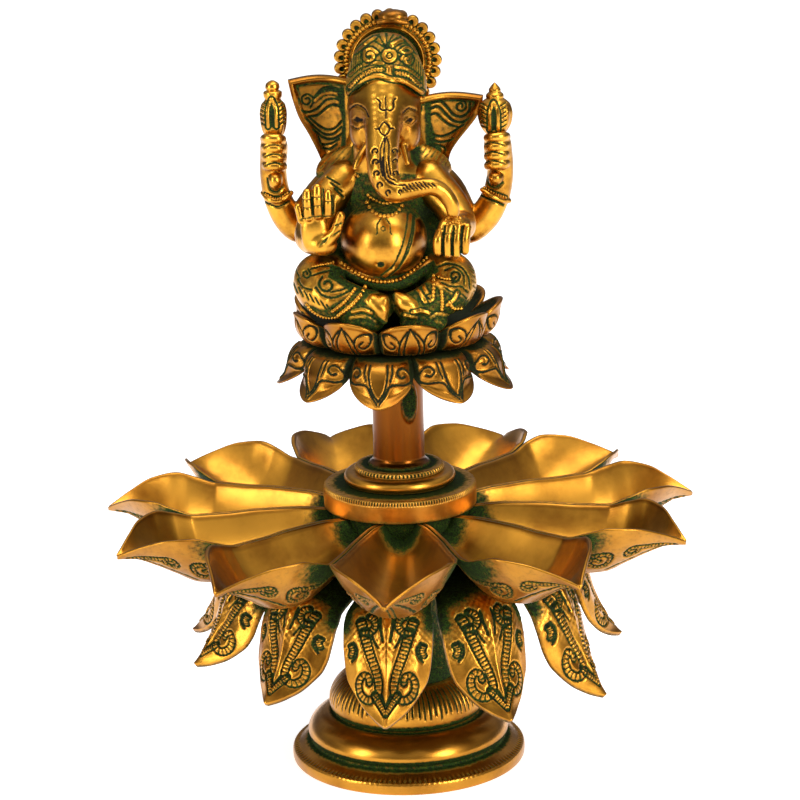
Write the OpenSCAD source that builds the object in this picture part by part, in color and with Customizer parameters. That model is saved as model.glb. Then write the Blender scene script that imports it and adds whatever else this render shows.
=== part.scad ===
// Cast brass aarti lamp: a turned foot and knop, a ring of drooping engraved leaves, a ring of
// open oil petals, a three-step collar, and a seated elephant-headed deity on a lotus above it.
// Millimetres, +Z up, front towards -Y, origin at the centre of the foot's underside.

/* [Foot] */
// Outside radius of the foot disc
foot_r = 46.5; // [44:0.1:52]
// Height of the foot disc's plain edge
foot_edge_h = 5.4; // [4:0.1:7]
// Radius of the groove above the disc's hollow slope
foot_groove_r = 39.4; // [37:0.1:41]
// Height of that groove above the floor
foot_groove_z = 8.5; // [7.6:0.1:9.5]
// How far the bull-nose ring swells past the groove
foot_swell = 0.8; // [0.4:0.1:2]
// Radius of the groove under the knop
foot_top_r = 30.4; // [28:0.1:32]
// Overall height of the foot
foot_h = 19.8; // [18.5:0.1:24]
// Thickness of the foot's shell above the nut
foot_ceiling_t = 3.8; // [3:0.1:5]
// Thickness of the foot's side wall
foot_wall_t = 4; // [3:0.1:5]

/* [Knop and neck] */
// Widest radius of the fluted knop
knop_r = 31; // [29:0.1:34]
// Radius of the knop's top groove
knop_top_r = 22; // [20:0.1:24]
// Height of the knop
knop_h = 15.7; // [13:0.1:20]
// Smallest radius of the neck
neck_waist_r = 15; // [13:0.1:18]
// Height of the neck between the knop and the leaf hub
neck_h = 48.5; // [44:0.5:60]

/* [Leaves] */
// Number of leaves, and of oil petals above them
petal_count = 11; // [10:1:12]
// Turn of both rings about the vertical axis
ring_turn = -0.3; // [-8:0.1:8]
// Distance from the axis to a leaf's tip
leaf_reach = 89; // [84:0.5:98]
// Height that a leaf falls from its root to its tip
leaf_drop = 42.5; // [38:0.5:48]
// Widest width of a leaf
leaf_w = 33.5; // [30:0.5:37]
// Thickness of a leaf
leaf_t = 3; // [2.4:0.1:3.6]
// Distance from the axis to the flats of the leaf hub
leaf_hub_flat_r = 26; // [24:0.1:28]
// Height of the leaf hub
leaf_hub_h = 9; // [8:0.1:12]

/* [Oil petals] */
// Distance from the axis to an oil petal's tip
petal_reach = 117.5; // [110:0.5:124]
// Widest width of an oil petal
petal_w = 46; // [42:0.5:50]
// Depth of an oil petal's bowl
petal_depth = 20; // [17:0.5:22]
// Thickness of an oil petal's wall
petal_t = 1.8; // [1.4:0.1:2.4]
// Gap between neighbouring oil petals
petal_gap = 0.3; // [0.2:0.1:0.6]
// Distance from the axis to the flats of the lamp hub
lamp_hub_flat_r = 27; // [25:0.1:29]
// Height of the lamp hub
lamp_hub_h = 11.5; // [11:0.1:14]

/* [Collar] */
// Radius of the wide milled disc
collar_base_r = 30; // [28.5:0.1:33]
// Height of the wide milled disc
collar_base_h = 9; // [7:0.1:11]
// Radius of the round middle ring
collar_ring_r = 21.8; // [20.5:0.1:24]
// Height of the middle ring
collar_ring_h = 5; // [4:0.1:7]
// Radius of the small milled disc
collar_cap_r = 17.5; // [15.5:0.1:19]
// Height of the small milled disc
collar_cap_h = 2.5; // [2:0.1:4]
// Radius of the edges that are rounded on the discs
collar_round_r = 0.8; // [0.4:0.1:0.9]

/* [Column and lotus] */
// Radius of the plain column
column_r = 10; // [9:0.1:11.5]
// Height of the column
column_h = 40; // [34:0.5:50]
// Radius of the column's foot and of its top flange
column_flange_r = 12.2; // [11.8:0.1:14]
// Number of petals in each tier of the lotus
lotus_count = 9; // [7:1:10]
// Distance from the axis to the lower tier's tips
lotus_low_reach = 47; // [44:0.5:54]
// Distance that the lower tier's tips hang below its top
lotus_low_drop = 16.5; // [14:0.5:20]
// Height of the lower tier's core
lotus_low_h = 10; // [8:0.1:13]
// Distance from the axis to the upper tier's tips
lotus_up_reach = 41; // [38:0.5:46]
// Height of the upper tier's tips above its underside
lotus_up_rise = 14.5; // [11:0.5:16]
// Height of the upper tier's seat for the figure
lotus_up_h = 7; // [5:0.1:9]
// Radius of the waist between the two tiers
lotus_waist_r = 29; // [27:0.1:31]

/* [Figure] */
// Height of the figure from its seat to the knob on its halo
figure_h = 120.6; // [100:0.1:140]
// Sideways lean of the hand-set figure, towards -X
figure_lean = 2; // [0:0.1:4]
// Thickness of the halo's plate
halo_t = 4.2; // [3:0.1:6]
// Thickness of the ears
ear_t = 3; // [2.4:0.1:4]

/* [Tie rod] */
// Radius of the threaded tie rod
rod_r = 4; // [3.5:0.1:4.5]
// Depth to which the rod is fixed in the column
rod_seat_depth = 20; // [14:0.5:28]
// Height of the rod's lower end above the floor
rod_end_z = 2.5; // [1.5:0.1:4]
// Gap between the rod and the stacked pieces that it passes
rod_gap = 0.3; // [0.2:0.05:0.5]
// Gap between the rod and the nut
nut_gap = 0.05; // [0.02:0.01:0.1]
// Width of the nut across its flats
nut_flats_w = 13; // [12:0.1:15]
// Height of the nut
nut_h = 6.5; // [5:0.1:7]
// Outside radius of the washer
washer_r = 9; // [8.5:0.1:11]
// Thickness of the washer
washer_t = 1.6; // [1.2:0.1:2]

/* [Hidden] */
eps = 0.01;          // overrun of every cut
round_fn = 96;       // sides of turned surfaces in the preview
limb_sides = 10;     // sides of an arm, leg or trunk
blob_fn = 14;        // sides of a swelling form
digit_fn = 8;        // sides of fingers and tusks
lobe_fn = 6;         // sides of the halo's lobes
pitch_angle = 360 / petal_count;

// Heights of the seats in the stack, from the floor up.
foot_inside_z = foot_h - foot_ceiling_t;
knop_z = foot_h;
neck_z = knop_z + knop_h;
leaf_hub_z = neck_z + neck_h;
lamp_hub_z = leaf_hub_z + leaf_hub_h;
collar_z = lamp_hub_z + lamp_hub_h;
collar_ring_z = collar_z + collar_base_h;
collar_cap_z = collar_ring_z + collar_ring_h;
column_z = collar_cap_z + collar_cap_h;
lotus_low_z = column_z + column_h;
lotus_up_z = lotus_low_z + lotus_low_h;
seat_z = lotus_up_z + lotus_up_h;
nut_z = foot_inside_z - washer_t - nut_h;
stack_bore_r = rod_r + rod_gap;

function numbered(name, i) = str(name, i < 9 ? "_0" : "_", i + 1);
LEAVES = [for (i = [0 : petal_count - 1]) numbered("leaf", i)];
OIL_PETALS = [for (i = [0 : petal_count - 1]) numbered("oil_petal", i)];

// Curves.
function arc(centre, radius, from, to, steps) = [
    for (i = [0 : steps])
        let (a = from + (to - from) * i / steps)
        centre + radius * [cos(a), sin(a)]
];
function ellipse_arc(centre, radii, from, to, steps) = [
    for (i = [0 : steps])
        let (a = from + (to - from) * i / steps)
        centre + [radii[0] * cos(a), radii[1] * sin(a)]
];
function unit(v) = v / norm(v);

// A closed sheet between an upper and a lower grid of points, both with the same rows and columns.
module sheet(upper, lower) {
    rows = len(upper);
    cols = len(upper[0]);
    half = rows * cols;
    points = concat([for (row = upper) each row], [for (row = lower) each row]);
    function at(i, j) = i * cols + j;
    faces = concat(
        [for (i = [0 : rows - 2]) for (j = [0 : cols - 2]) each [
            [at(i, j), at(i, j + 1), at(i + 1, j + 1)],
            [at(i, j), at(i + 1, j + 1), at(i + 1, j)],
            [half + at(i, j), half + at(i + 1, j + 1), half + at(i, j + 1)],
            [half + at(i, j), half + at(i + 1, j), half + at(i + 1, j + 1)]
        ]],
        [for (i = [0 : rows - 2]) each [
            [at(i, 0), at(i + 1, 0), half + at(i + 1, 0)],
            [at(i, 0), half + at(i + 1, 0), half + at(i, 0)],
            [at(i, cols - 1), half + at(i + 1, cols - 1), at(i + 1, cols - 1)],
            [at(i, cols - 1), half + at(i, cols - 1), half + at(i + 1, cols - 1)]
        ]],
        [for (j = [0 : cols - 2]) each [
            [at(0, j), half + at(0, j + 1), at(0, j + 1)],
            [at(0, j), half + at(0, j), half + at(0, j + 1)],
            [at(rows - 1, j), at(rows - 1, j + 1), half + at(rows - 1, j + 1)],
            [at(rows - 1, j), half + at(rows - 1, j + 1), half + at(rows - 1, j)]
        ]]
    );
    polyhedron(points = points, faces = faces);
}

// A closed skin over rings of points, each ring listed anticlockwise seen from its last ring.
module skin(rings) {
    rows = len(rings);
    cols = len(rings[0]);
    points = [for (ring = rings) each ring];
    function at(i, j) = i * cols + j % cols;
    faces = concat(
        [for (i = [0 : rows - 2]) for (j = [0 : cols - 1]) each [
            [at(i, j), at(i + 1, j + 1), at(i, j + 1)],
            [at(i, j), at(i + 1, j), at(i + 1, j + 1)]
        ]],
        [for (j = [1 : cols - 2]) [at(0, 0), at(0, j), at(0, j + 1)]],
        [for (j = [1 : cols - 2]) [at(rows - 1, 0), at(rows - 1, j + 1), at(rows - 1, j)]]
    );
    polyhedron(points = points, faces = faces);
}

module at_petal(i) {
    rotate([0, 0, ring_turn - 90 + i * pitch_angle]) children();
}

// The castings are set by hand: each leaf and petal seats on its own flat of the hub, and then
// bends some degrees to one side. An oil petal bends evenly up to its tip, a leaf bends near its
// root, and the leaves droop unevenly too.
leaf_turns = [-4.8, -6, -4, -1, 0, 0, -1, -3, -6, -1, -3.5];
leaf_fall_shares = [1, 1.05, 1.16, 1, 1, 1, 1, 1, 0.95, 0.82, 0.9];
petal_turns = [-3, 0.5, 0.5, 0, -1.5, -6, -1.5, 0, 0.5, 0, -2];
function hand_turn(turns, i) =
    let (k = (i + petal_count) % petal_count)
    k < len(turns) ? turns[k] : 0;
function hand_fall(i) = i < len(leaf_fall_shares) ? leaf_fall_shares[i] : 1;

// Half the angle between a leaf or petal and its neighbour on one side, past some share of the bend.
function half_angle(turns, i, side, share) =
    (pitch_angle + side * share * (hand_turn(turns, i + side) - hand_turn(turns, i))) / 2;
leaf_bend_end_share = 0.6;
function leaf_bend(share) = min(share / leaf_bend_end_share, 1);
function turned(p, angle) = [
    p[0] * cos(angle) - p[1] * sin(angle), p[0] * sin(angle) + p[1] * cos(angle), p[2]
];

module rod_hole(from_z, to_z) {
    translate([0, 0, from_z - eps]) cylinder(h = to_z - from_z + 2 * eps, r = stack_bore_r, $fn = round_fn);
}

// Foot: a disc, a hollow slope, a bull-nose ring and an open underside.
foot_nose_r = foot_groove_r + foot_swell;
foot_nose_h = foot_h - foot_groove_z;
foot_slope = foot_r - foot_groove_r;
foot_rim_r = foot_groove_r - foot_wall_t / 2;
foot_edge_round = foot_edge_h / 5;
foot_profile = concat(
    [[foot_r - foot_edge_round, 0]],
    arc([foot_r - foot_edge_round, foot_edge_round], foot_edge_round, -90, 0, 3),
    arc([foot_r - foot_edge_round, foot_edge_h - foot_edge_round], foot_edge_round, 0, 90, 3),
    ellipse_arc([foot_r - foot_edge_round, foot_groove_z],
        [foot_slope - foot_edge_round, foot_groove_z - foot_edge_h], -100, -180, 5),
    ellipse_arc([foot_nose_r - foot_nose_h, foot_groove_z + foot_nose_h / 3],
        [foot_nose_h, foot_nose_h / 3], -20, 0, 3),
    ellipse_arc([foot_top_r, foot_groove_z + foot_nose_h / 3],
        [foot_nose_r - foot_top_r, foot_nose_h * 2 / 3], 6, 90, 8),
    [[0, foot_h], [0, foot_inside_z]],
    [[foot_top_r - foot_wall_t, foot_inside_z]],
    ellipse_arc([foot_top_r - foot_wall_t, foot_groove_z],
        [foot_rim_r - foot_top_r, foot_inside_z - foot_groove_z], 80, 0, 5),
    [[foot_rim_r, foot_edge_h], [foot_groove_r + foot_wall_t / 4, 0]]
);

module foot() {
    color("#b07a2a") difference() {
        rotate_extrude($fn = round_fn) polygon(foot_profile);
        rod_hole(foot_inside_z, foot_h);
    }
}

// Knop: a low dome with lines cut down its side.
knop_low_h = knop_h / 4;
knop_profile = concat(
    [[0, knop_z]],
    ellipse_arc([foot_top_r, knop_z + knop_low_h], [knop_r - foot_top_r, knop_low_h], -90, 0, 4),
    ellipse_arc([knop_top_r, knop_z + knop_low_h], [knop_r - knop_top_r, knop_h - knop_low_h], 8, 90, 9),
    [[0, knop_z + knop_h]]
);

module fluted_knop() {
    color("#a06e24") difference() {
        rotate_extrude($fn = round_fn) polygon(knop_profile);
        rod_hole(knop_z, knop_z + knop_h);
    }
}

// Neck: a plain spool that flares into the leaf hub. Each row gives the height, and how far the
// radius has gone from the waist towards the nearer end.
neck_row_shares = [
    [0, 1], [0.06, 0.98], [0.2, 0.55], [0.4, 0.1], [0.55, 0], [0.7, 0.12], [0.85, 0.5], [1, 1]
];
neck_top_r = leaf_hub_flat_r - leaf_t / 2;
function neck_end_r(share) = share < 0.5 ? knop_top_r - foot_swell : neck_top_r;
neck_profile = concat(
    [[0, neck_z]],
    [for (row = neck_row_shares)
        [neck_waist_r + (neck_end_r(row[0]) - neck_waist_r) * row[1], neck_z + neck_h * row[0]]],
    [[0, neck_z + neck_h]]
);

module neck() {
    color("#b98433") difference() {
        rotate_extrude($fn = round_fn) polygon(neck_profile);
        rod_hole(neck_z, neck_z + neck_h);
    }
}

// Hubs: flat-sided blocks with one face for each leaf or petal.
module hub(flat_r, z, h) {
    difference() {
        rotate([0, 0, ring_turn - 90 + pitch_angle / 2])
            translate([0, 0, z]) cylinder(h = h, r = flat_r / cos(pitch_angle / 2), $fn = petal_count);
        rod_hole(z, z + h);
    }
}

module leaf_hub() {
    color("#8a6424") hub(leaf_hub_flat_r, leaf_hub_z, leaf_hub_h);
}

module lamp_hub() {
    color("#8a6424") hub(lamp_hub_flat_r, lamp_hub_z, lamp_hub_h);
}

// Leaf: a bent, arched blade. Each row gives the way out, the way down and the width.
leaf_root_z = leaf_hub_z + leaf_hub_h / 2;
leaf_row_shares = [
    [0, 0, 0.40], [0.19, -0.03, 0.60], [0.40, -0.01, 0.80], [0.585, 0.07, 0.94],
    [0.70, 0.22, 1.0], [0.762, 0.40, 0.98], [0.80, 0.585, 0.88], [0.855, 0.77, 0.68],
    [0.925, 0.91, 0.38], [1, 1, 0.05]
];
leaf_arch_share = 0.3;
leaf_steps_across = 3;
function leaf_path(i) = [
    for (row = leaf_row_shares)
        [leaf_hub_flat_r + (leaf_reach - leaf_hub_flat_r) * row[0],
            leaf_root_z - leaf_drop * hand_fall(i) * row[1]]
];
function path_way(path, i) = i == 0 ? [1, 0] : unit(path[min(i + 1, len(path) - 1)] - path[i - 1]);
function leaf_half(i, row, side, out_r) = min(
    leaf_row_shares[row][2] * leaf_w / 2,
    out_r * tan(half_angle(leaf_turns, i, side, leaf_bend(leaf_row_shares[row][0]))) - petal_gap
);
function leaf_point(i, path, row, v, depth) =
    let (
        way = path_way(path, row),
        out = [-way[1], way[0]],
        half = leaf_half(i, row, v < 0 ? -1 : 1, path[row][0]),
        p = path[row] - out * (leaf_arch_share * half * v * v + depth)
    )
    turned([p[0], half * v, p[1]], hand_turn(leaf_turns, i) * leaf_bend(leaf_row_shares[row][0]));
function leaf_grid(i, depth) =
    let (path = leaf_path(i))
    [
        for (row = [0 : len(path) - 1])
            [for (j = [-leaf_steps_across : leaf_steps_across])
                leaf_point(i, path, row, j / leaf_steps_across, depth)]
    ];

module leaf(i) {
    color("#a8742a") at_petal(i) sheet(leaf_grid(i, 0), leaf_grid(i, leaf_t));
}

// Oil petal: an open bowl with a pointed lip. Each row gives the way out, the width, and the
// heights of the rim and of the underside against the top of the hub.
petal_row_shares = [
    [0, 1, -0.02, -0.42], [0.14, 1, 0.05, -0.55], [0.30, 1, 0.06, -0.75], [0.44, 1, 0.03, -0.90],
    [0.56, 1, 0.03, -0.97], [0.66, 1, 0.15, -0.90], [0.75, 0.93, 0.26, -0.68],
    [0.84, 0.71, 0.22, -0.46], [0.92, 0.38, 0.06, -0.30], [1, 0.045, -0.16, -0.25]
];
petal_steps_across = 4;
petal_bowl_power = 2.2;
function petal_out(row) = lamp_hub_flat_r + (petal_reach - lamp_hub_flat_r) * row[0];
function petal_half(i, row, side) = min(
    row[1] * petal_w / 2,
    petal_out(row) * tan(half_angle(petal_turns, i, side, row[0])) - petal_gap / 2
);
function petal_point(i, row, v, wall) =
    let (
        half = petal_half(i, row, v < 0 ? -1 : 1),
        inner_half = half - min(wall, half / 2),
        rim_z = collar_z + row[2] * petal_depth,
        bed_z = min(collar_z + row[3] * petal_depth + wall, rim_z - petal_t / 8),
        z = bed_z + (rim_z - bed_z) * pow(abs(v), petal_bowl_power)
    )
    turned([petal_out(row), inner_half * v, z], hand_turn(petal_turns, i) * row[0]);
function petal_grid(i, wall) = [
    for (row = petal_row_shares)
        [for (j = [-petal_steps_across : petal_steps_across])
            petal_point(i, row, j / petal_steps_across, wall)]
];

module oil_petal(i) {
    color("#c08a34") at_petal(i) sheet(petal_grid(i, petal_t), petal_grid(i, 0));
}

// Collar: a wide milled disc, a round ring and a small milled disc, clamped on the lamp hub.
module turned_disc(r, z, h, edge_r) {
    difference() {
        rotate_extrude($fn = round_fn) polygon(concat(
            [[0, z]],
            arc([r - edge_r, z + edge_r], edge_r, -90, 0, 4),
            arc([r - edge_r, z + h - edge_r], edge_r, 0, 90, 4),
            [[0, z + h]]
        ));
        rod_hole(z, z + h);
    }
}

module collar_base() {
    color("#b98433") turned_disc(collar_base_r, collar_z, collar_base_h, collar_round_r);
}

module collar_ring() {
    color("#c08a34") turned_disc(collar_ring_r, collar_ring_z, collar_ring_h, collar_ring_h / 2);
}

module collar_cap() {
    color("#b98433") turned_disc(collar_cap_r, collar_cap_z, collar_cap_h, collar_round_r);
}

// Tie rod, nut and washer: they clamp the whole stack from inside the foot.
module washer() {
    color("#8f8f8a") translate([0, 0, foot_inside_z - washer_t]) difference() {
        cylinder(h = washer_t, r = washer_r, $fn = round_fn);
        translate([0, 0, -eps]) cylinder(h = washer_t + 2 * eps, r = stack_bore_r, $fn = round_fn);
    }
}

module tie_nut() {
    color("#9a9a94") translate([0, 0, nut_z]) difference() {
        cylinder(h = nut_h, r = nut_flats_w / 2 / cos(30), $fn = 6);
        translate([0, 0, -eps]) cylinder(h = nut_h + 2 * eps, r = rod_r + nut_gap, $fn = round_fn);
    }
}

module tie_rod() {
    color("#8f8f8a") translate([0, 0, rod_end_z])
        cylinder(h = column_z + rod_seat_depth - rod_end_z, r = rod_r, $fn = round_fn);
}

// Column: a plain shaft with a soft foot and a flange under the lotus.
column_foot_h = column_flange_r - column_r;
column_profile = concat(
    [[0, column_z], [column_flange_r, column_z]],
    arc([column_flange_r, column_z + column_foot_h * 5 / 4], column_foot_h, -90, -180, 5),
    arc([column_flange_r, lotus_low_z - column_foot_h * 5 / 4], column_foot_h, 180, 90, 5),
    [[column_flange_r, lotus_low_z], [0, lotus_low_z]]
);

module column() {
    color("#b98433") difference() {
        rotate_extrude($fn = round_fn) polygon(column_profile);
        translate([0, 0, column_z - eps]) cylinder(h = rod_seat_depth + eps, r = rod_r, $fn = round_fn);
    }
}

// Lotus tiers: one closed skin each, whose edge runs out to a point at every petal.
lotus_steps = 6;
lobe_power = 0.7;
lotus_low_turn = -100;
lotus_up_turn = -81;
lotus_core_share = 1.8;
lotus_core_r = column_flange_r * lotus_core_share;
function lobe(step) =
    let (u = abs(2 * (step % lotus_steps) / lotus_steps - 1))
    pow(1 - u, lobe_power);
function lotus_ring(turn, radii, heights) = [
    for (step = [0 : lotus_count * lotus_steps - 1])
        let (
            a = turn + (step / lotus_steps - 0.5) * 360 / lotus_count,
            share = lobe(step),
            r = radii[0] + (radii[1] - radii[0]) * share,
            z = heights[0] + (heights[1] - heights[0]) * share
        )
        [r * cos(a), r * sin(a), z]
];

// Valley and tip ends of the lower tier, and its outer curve from the waist to them.
low_valley_shares = [0.35, 0.43];
low_valley = [
    lotus_waist_r + (lotus_low_reach - lotus_waist_r) * low_valley_shares[0],
    lotus_up_z - lotus_low_drop * low_valley_shares[1]
];
low_tip = [lotus_low_reach, lotus_up_z - lotus_low_drop];
low_curve_shares = [[0.3, 0.03], [0.58, 0.16], [0.8, 0.42], [0.93, 0.74], [1, 1]];
function low_ring(row) = lotus_ring(lotus_low_turn,
    [for (end = [low_valley, low_tip]) lotus_waist_r + (end[0] - lotus_waist_r) * row[0]],
    [for (end = [low_valley, low_tip]) lotus_up_z + (end[1] - lotus_up_z) * row[1]]);
low_lip_share = 0.14;
low_inner_share = 1.15;
low_lip = low_lip_share * lotus_low_drop;
low_inner_r = lotus_core_r * low_inner_share;
low_inner_z = lotus_low_z + lotus_low_h / 4;

module lotus_lower_tier() {
    color("#a8742a") skin(concat(
        [lotus_ring(lotus_low_turn, [lotus_core_r, lotus_core_r], [lotus_low_z, lotus_low_z])],
        [lotus_ring(lotus_low_turn, [low_inner_r, low_inner_r], [low_inner_z, low_inner_z])],
        [lotus_ring(lotus_low_turn, [low_valley[0] - low_lip, low_tip[0] - low_lip],
            [low_valley[1] + low_lip / 2, low_tip[1] + low_lip / 2])],
        [for (k = [len(low_curve_shares) - 1 : -1 : 0]) low_ring(low_curve_shares[k])],
        [lotus_ring(lotus_low_turn, [lotus_waist_r, lotus_waist_r], [lotus_up_z, lotus_up_z])]
    ));
}

// The same for the upper tier, whose outer curve rises from its base.
up_valley_shares = [0.35, 0.62];
up_valley = [
    lotus_waist_r + (lotus_up_reach - lotus_waist_r) * up_valley_shares[0],
    lotus_up_z + lotus_up_rise * up_valley_shares[1]
];
up_tip = [lotus_up_reach, lotus_up_z + lotus_up_rise];
up_base_share = 0.9;
up_base_r = lotus_waist_r * up_base_share;
up_curve_shares = [[0.5, 0.12], [0.78, 0.34], [0.9, 0.6], [0.95, 0.82], [1, 1]];
up_lip_share = [1, 0.96];
up_wall_share = 0.2;
up_wall = up_wall_share * lotus_up_rise;
function up_ring(row, inset) = lotus_ring(lotus_up_turn,
    [for (end = [up_valley, up_tip]) up_base_r + (end[0] - up_base_r) * row[0] - inset],
    [for (end = [up_valley, up_tip]) lotus_up_z + (end[1] - lotus_up_z) * row[1]]);

module lotus_upper_tier() {
    color("#a8742a") skin(concat(
        [lotus_ring(lotus_up_turn, [up_base_r, up_base_r], [lotus_up_z, lotus_up_z])],
        [for (row = up_curve_shares) up_ring(row, 0)],
        [up_ring(up_lip_share, up_wall)],
        [lotus_ring(lotus_up_turn, [up_valley[0] - up_wall, up_valley[0] - up_wall], [seat_z, seat_z])]
    ));
}

// Figure. Places are [across, back, up] and radii, as shares of the figure's height, from the
// middle of its seat; the front faces -Y.
function place(shares) = [for (k = [0 : 2]) shares[k] * figure_h];

// A swelling form: its centre and its three radii.
module blob(centre_shares, radius_shares) {
    translate(place(centre_shares)) scale(place(radius_shares)) sphere(1, $fn = blob_fn);
}

// A tapering form between two balls, each a row of [across, back, up, radius].
module bridge(from_shares, to_shares, sides) {
    hull() {
        translate(place(from_shares)) sphere(from_shares[3] * figure_h, $fn = sides);
        translate(place(to_shares)) sphere(to_shares[3] * figure_h, $fn = sides);
    }
}

// A round limb through rows of [across, back, up, radius], closed by a short dome at each end.
limb_cap_share = 0.6;
module limb(row_shares) {
    count = len(row_shares);
    centres = [for (row = row_shares) place(row)];
    ways = [
        for (i = [0 : count - 1]) unit(centres[min(i + 1, count - 1)] - centres[max(i - 1, 0)])
    ];
    radii = [for (row = row_shares) row[3] * figure_h];
    function ring(centre, way, r) =
        let (side = unit(cross(way, [0, 1, 0])), lift = cross(side, way))
        [for (k = [0 : limb_sides - 1])
            centre + r * (side * cos(360 * k / limb_sides) - lift * sin(360 * k / limb_sides))];
    skin(concat(
        [ring(centres[0] - ways[0] * radii[0] * limb_cap_share, ways[0], radii[0] * limb_cap_share)],
        [for (i = [0 : count - 1]) ring(centres[i], ways[i], radii[i])],
        [ring(centres[count - 1] + ways[count - 1] * radii[count - 1] * limb_cap_share,
            ways[count - 1], radii[count - 1] * limb_cap_share)]
    ));
}

module on_seat() {
    translate([-figure_lean, 0, seat_z]) children();
}

// The head sits on the body at a flat neck, and the halo stands against a flat at the back.
neck_plane_share = 0.545;
halo_front_share = 0.085;

// Hips, belly and chest, each a centre and radii, and the neck as a bridge.
hips_shares = [[0, 0.02, 0.07], [0.2, 0.17, 0.09]];
belly_shares = [[-0.008, -0.09, 0.27], [0.165, 0.175, 0.17]];
chest_shares = [[-0.005, -0.02, 0.44], [0.185, 0.13, 0.13]];
neck_low_share = [-0.005, -0.01, 0.46, 0.095];
neck_high_share = [-0.01, -0.02, neck_plane_share, 0.085];

// Crossed legs, from hip to knee and along the shin to the foot.
left_leg_shares = [
    [-0.08, 0.02, 0.11, 0.105], [-0.15, -0.045, 0.14, 0.10], [-0.212, -0.10, 0.155, 0.09],
    [-0.20, -0.175, 0.13, 0.075], [-0.12, -0.225, 0.11, 0.06], [-0.01, -0.24, 0.10, 0.05]
];
right_leg_shares = [
    [0.08, 0.02, 0.11, 0.105], [0.13, -0.045, 0.14, 0.10], [0.185, -0.10, 0.15, 0.09],
    [0.18, -0.175, 0.13, 0.072], [0.12, -0.235, 0.11, 0.056], [0.05, -0.25, 0.105, 0.045]
];

// Four arms, from shoulder to hand.
left_rear_arm_shares = [
    [-0.13, 0.02, 0.47, 0.06], [-0.19, 0.04, 0.42, 0.058], [-0.25, 0.05, 0.345, 0.056],
    [-0.27, 0.05, 0.295, 0.055], [-0.315, 0.045, 0.34, 0.052], [-0.345, 0.04, 0.42, 0.046],
    [-0.352, 0.035, 0.50, 0.044], [-0.345, 0.03, 0.57, 0.048]
];
right_rear_arm_shares = [
    [0.13, 0.02, 0.47, 0.062], [0.19, 0.04, 0.41, 0.058], [0.225, 0.05, 0.34, 0.056],
    [0.25, 0.05, 0.285, 0.054], [0.31, 0.045, 0.33, 0.052], [0.345, 0.04, 0.41, 0.046],
    [0.358, 0.035, 0.485, 0.043], [0.355, 0.03, 0.555, 0.047]
];
left_front_arm_shares = [
    [-0.13, -0.04, 0.465, 0.065], [-0.20, -0.08, 0.40, 0.06], [-0.235, -0.13, 0.31, 0.055],
    [-0.215, -0.20, 0.30, 0.045], [-0.19, -0.25, 0.345, 0.042]
];
right_front_arm_shares = [
    [0.13, -0.04, 0.46, 0.065], [0.195, -0.08, 0.39, 0.058], [0.22, -0.13, 0.31, 0.052],
    [0.215, -0.20, 0.28, 0.042], [0.21, -0.245, 0.285, 0.042]
];

// Fingers of the raised palm and of the hand that hangs over the knee.
finger_root_share = 0.016;
finger_tip_share = 0.011;
raised_finger_shares = [-0.235, -0.21, -0.185, -0.16];
raised_from_share = [-0.255, 0.36];
raised_to_share = [-0.262, 0.45];
hanging_finger_shares = [0.17, 0.195, 0.22, 0.245];
hanging_from_share = [-0.265, 0.28];
hanging_to_share = [-0.272, 0.20];
thumb_shares = [
    [[-0.165, -0.25, 0.34, 0.014], [-0.14, -0.262, 0.385, 0.011]],
    [[0.18, -0.25, 0.30, 0.014], [0.15, -0.27, 0.26, 0.011]]
];

// Ribbed bud with a pointed finial, held in each rear hand: rows of radius and height.
bud_profile_shares = [
    [0, -0.03], [0.016, -0.03], [0.024, 0], [0.04, 0.035], [0.042, 0.065], [0.03, 0.10],
    [0.012, 0.122], [0.017, 0.132], [0.014, 0.145], [0.004, 0.165], [0, 0.168]
];
bud_place_shares = [[-0.34, 0.03, 0.60], [0.353, 0.03, 0.585]];

module torso_forms() {
    for (form = [hips_shares, belly_shares, chest_shares]) {
        blob(form[0], form[1]);
    }
    bridge(neck_low_share, neck_high_share, blob_fn);
    limb(left_leg_shares);
    limb(right_leg_shares);
}

module hand_forms() {
    for (x = raised_finger_shares) {
        bridge([x, each raised_from_share, finger_root_share],
            [x, each raised_to_share, finger_tip_share], digit_fn);
    }
    for (x = hanging_finger_shares) {
        bridge([x, each hanging_from_share, finger_root_share],
            [x, each hanging_to_share, finger_tip_share], digit_fn);
    }
    for (thumb = thumb_shares) {
        bridge(thumb[0], thumb[1], digit_fn);
    }
}

module bud() {
    rotate_extrude($fn = blob_fn) polygon([for (row = bud_profile_shares) row * figure_h]);
}

module figure_body() {
    color("#b07a2a") on_seat() {
        intersection() {
            torso_forms();
            translate([-figure_h, -figure_h, 0])
                cube([2 * figure_h, 2 * figure_h, neck_plane_share * figure_h]);
        }
        for (arm = [left_rear_arm_shares, right_rear_arm_shares, left_front_arm_shares,
                right_front_arm_shares]) {
            limb(arm);
        }
        hand_forms();
        for (shares = bud_place_shares) {
            translate(place(shares)) bud();
        }
    }
}

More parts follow.
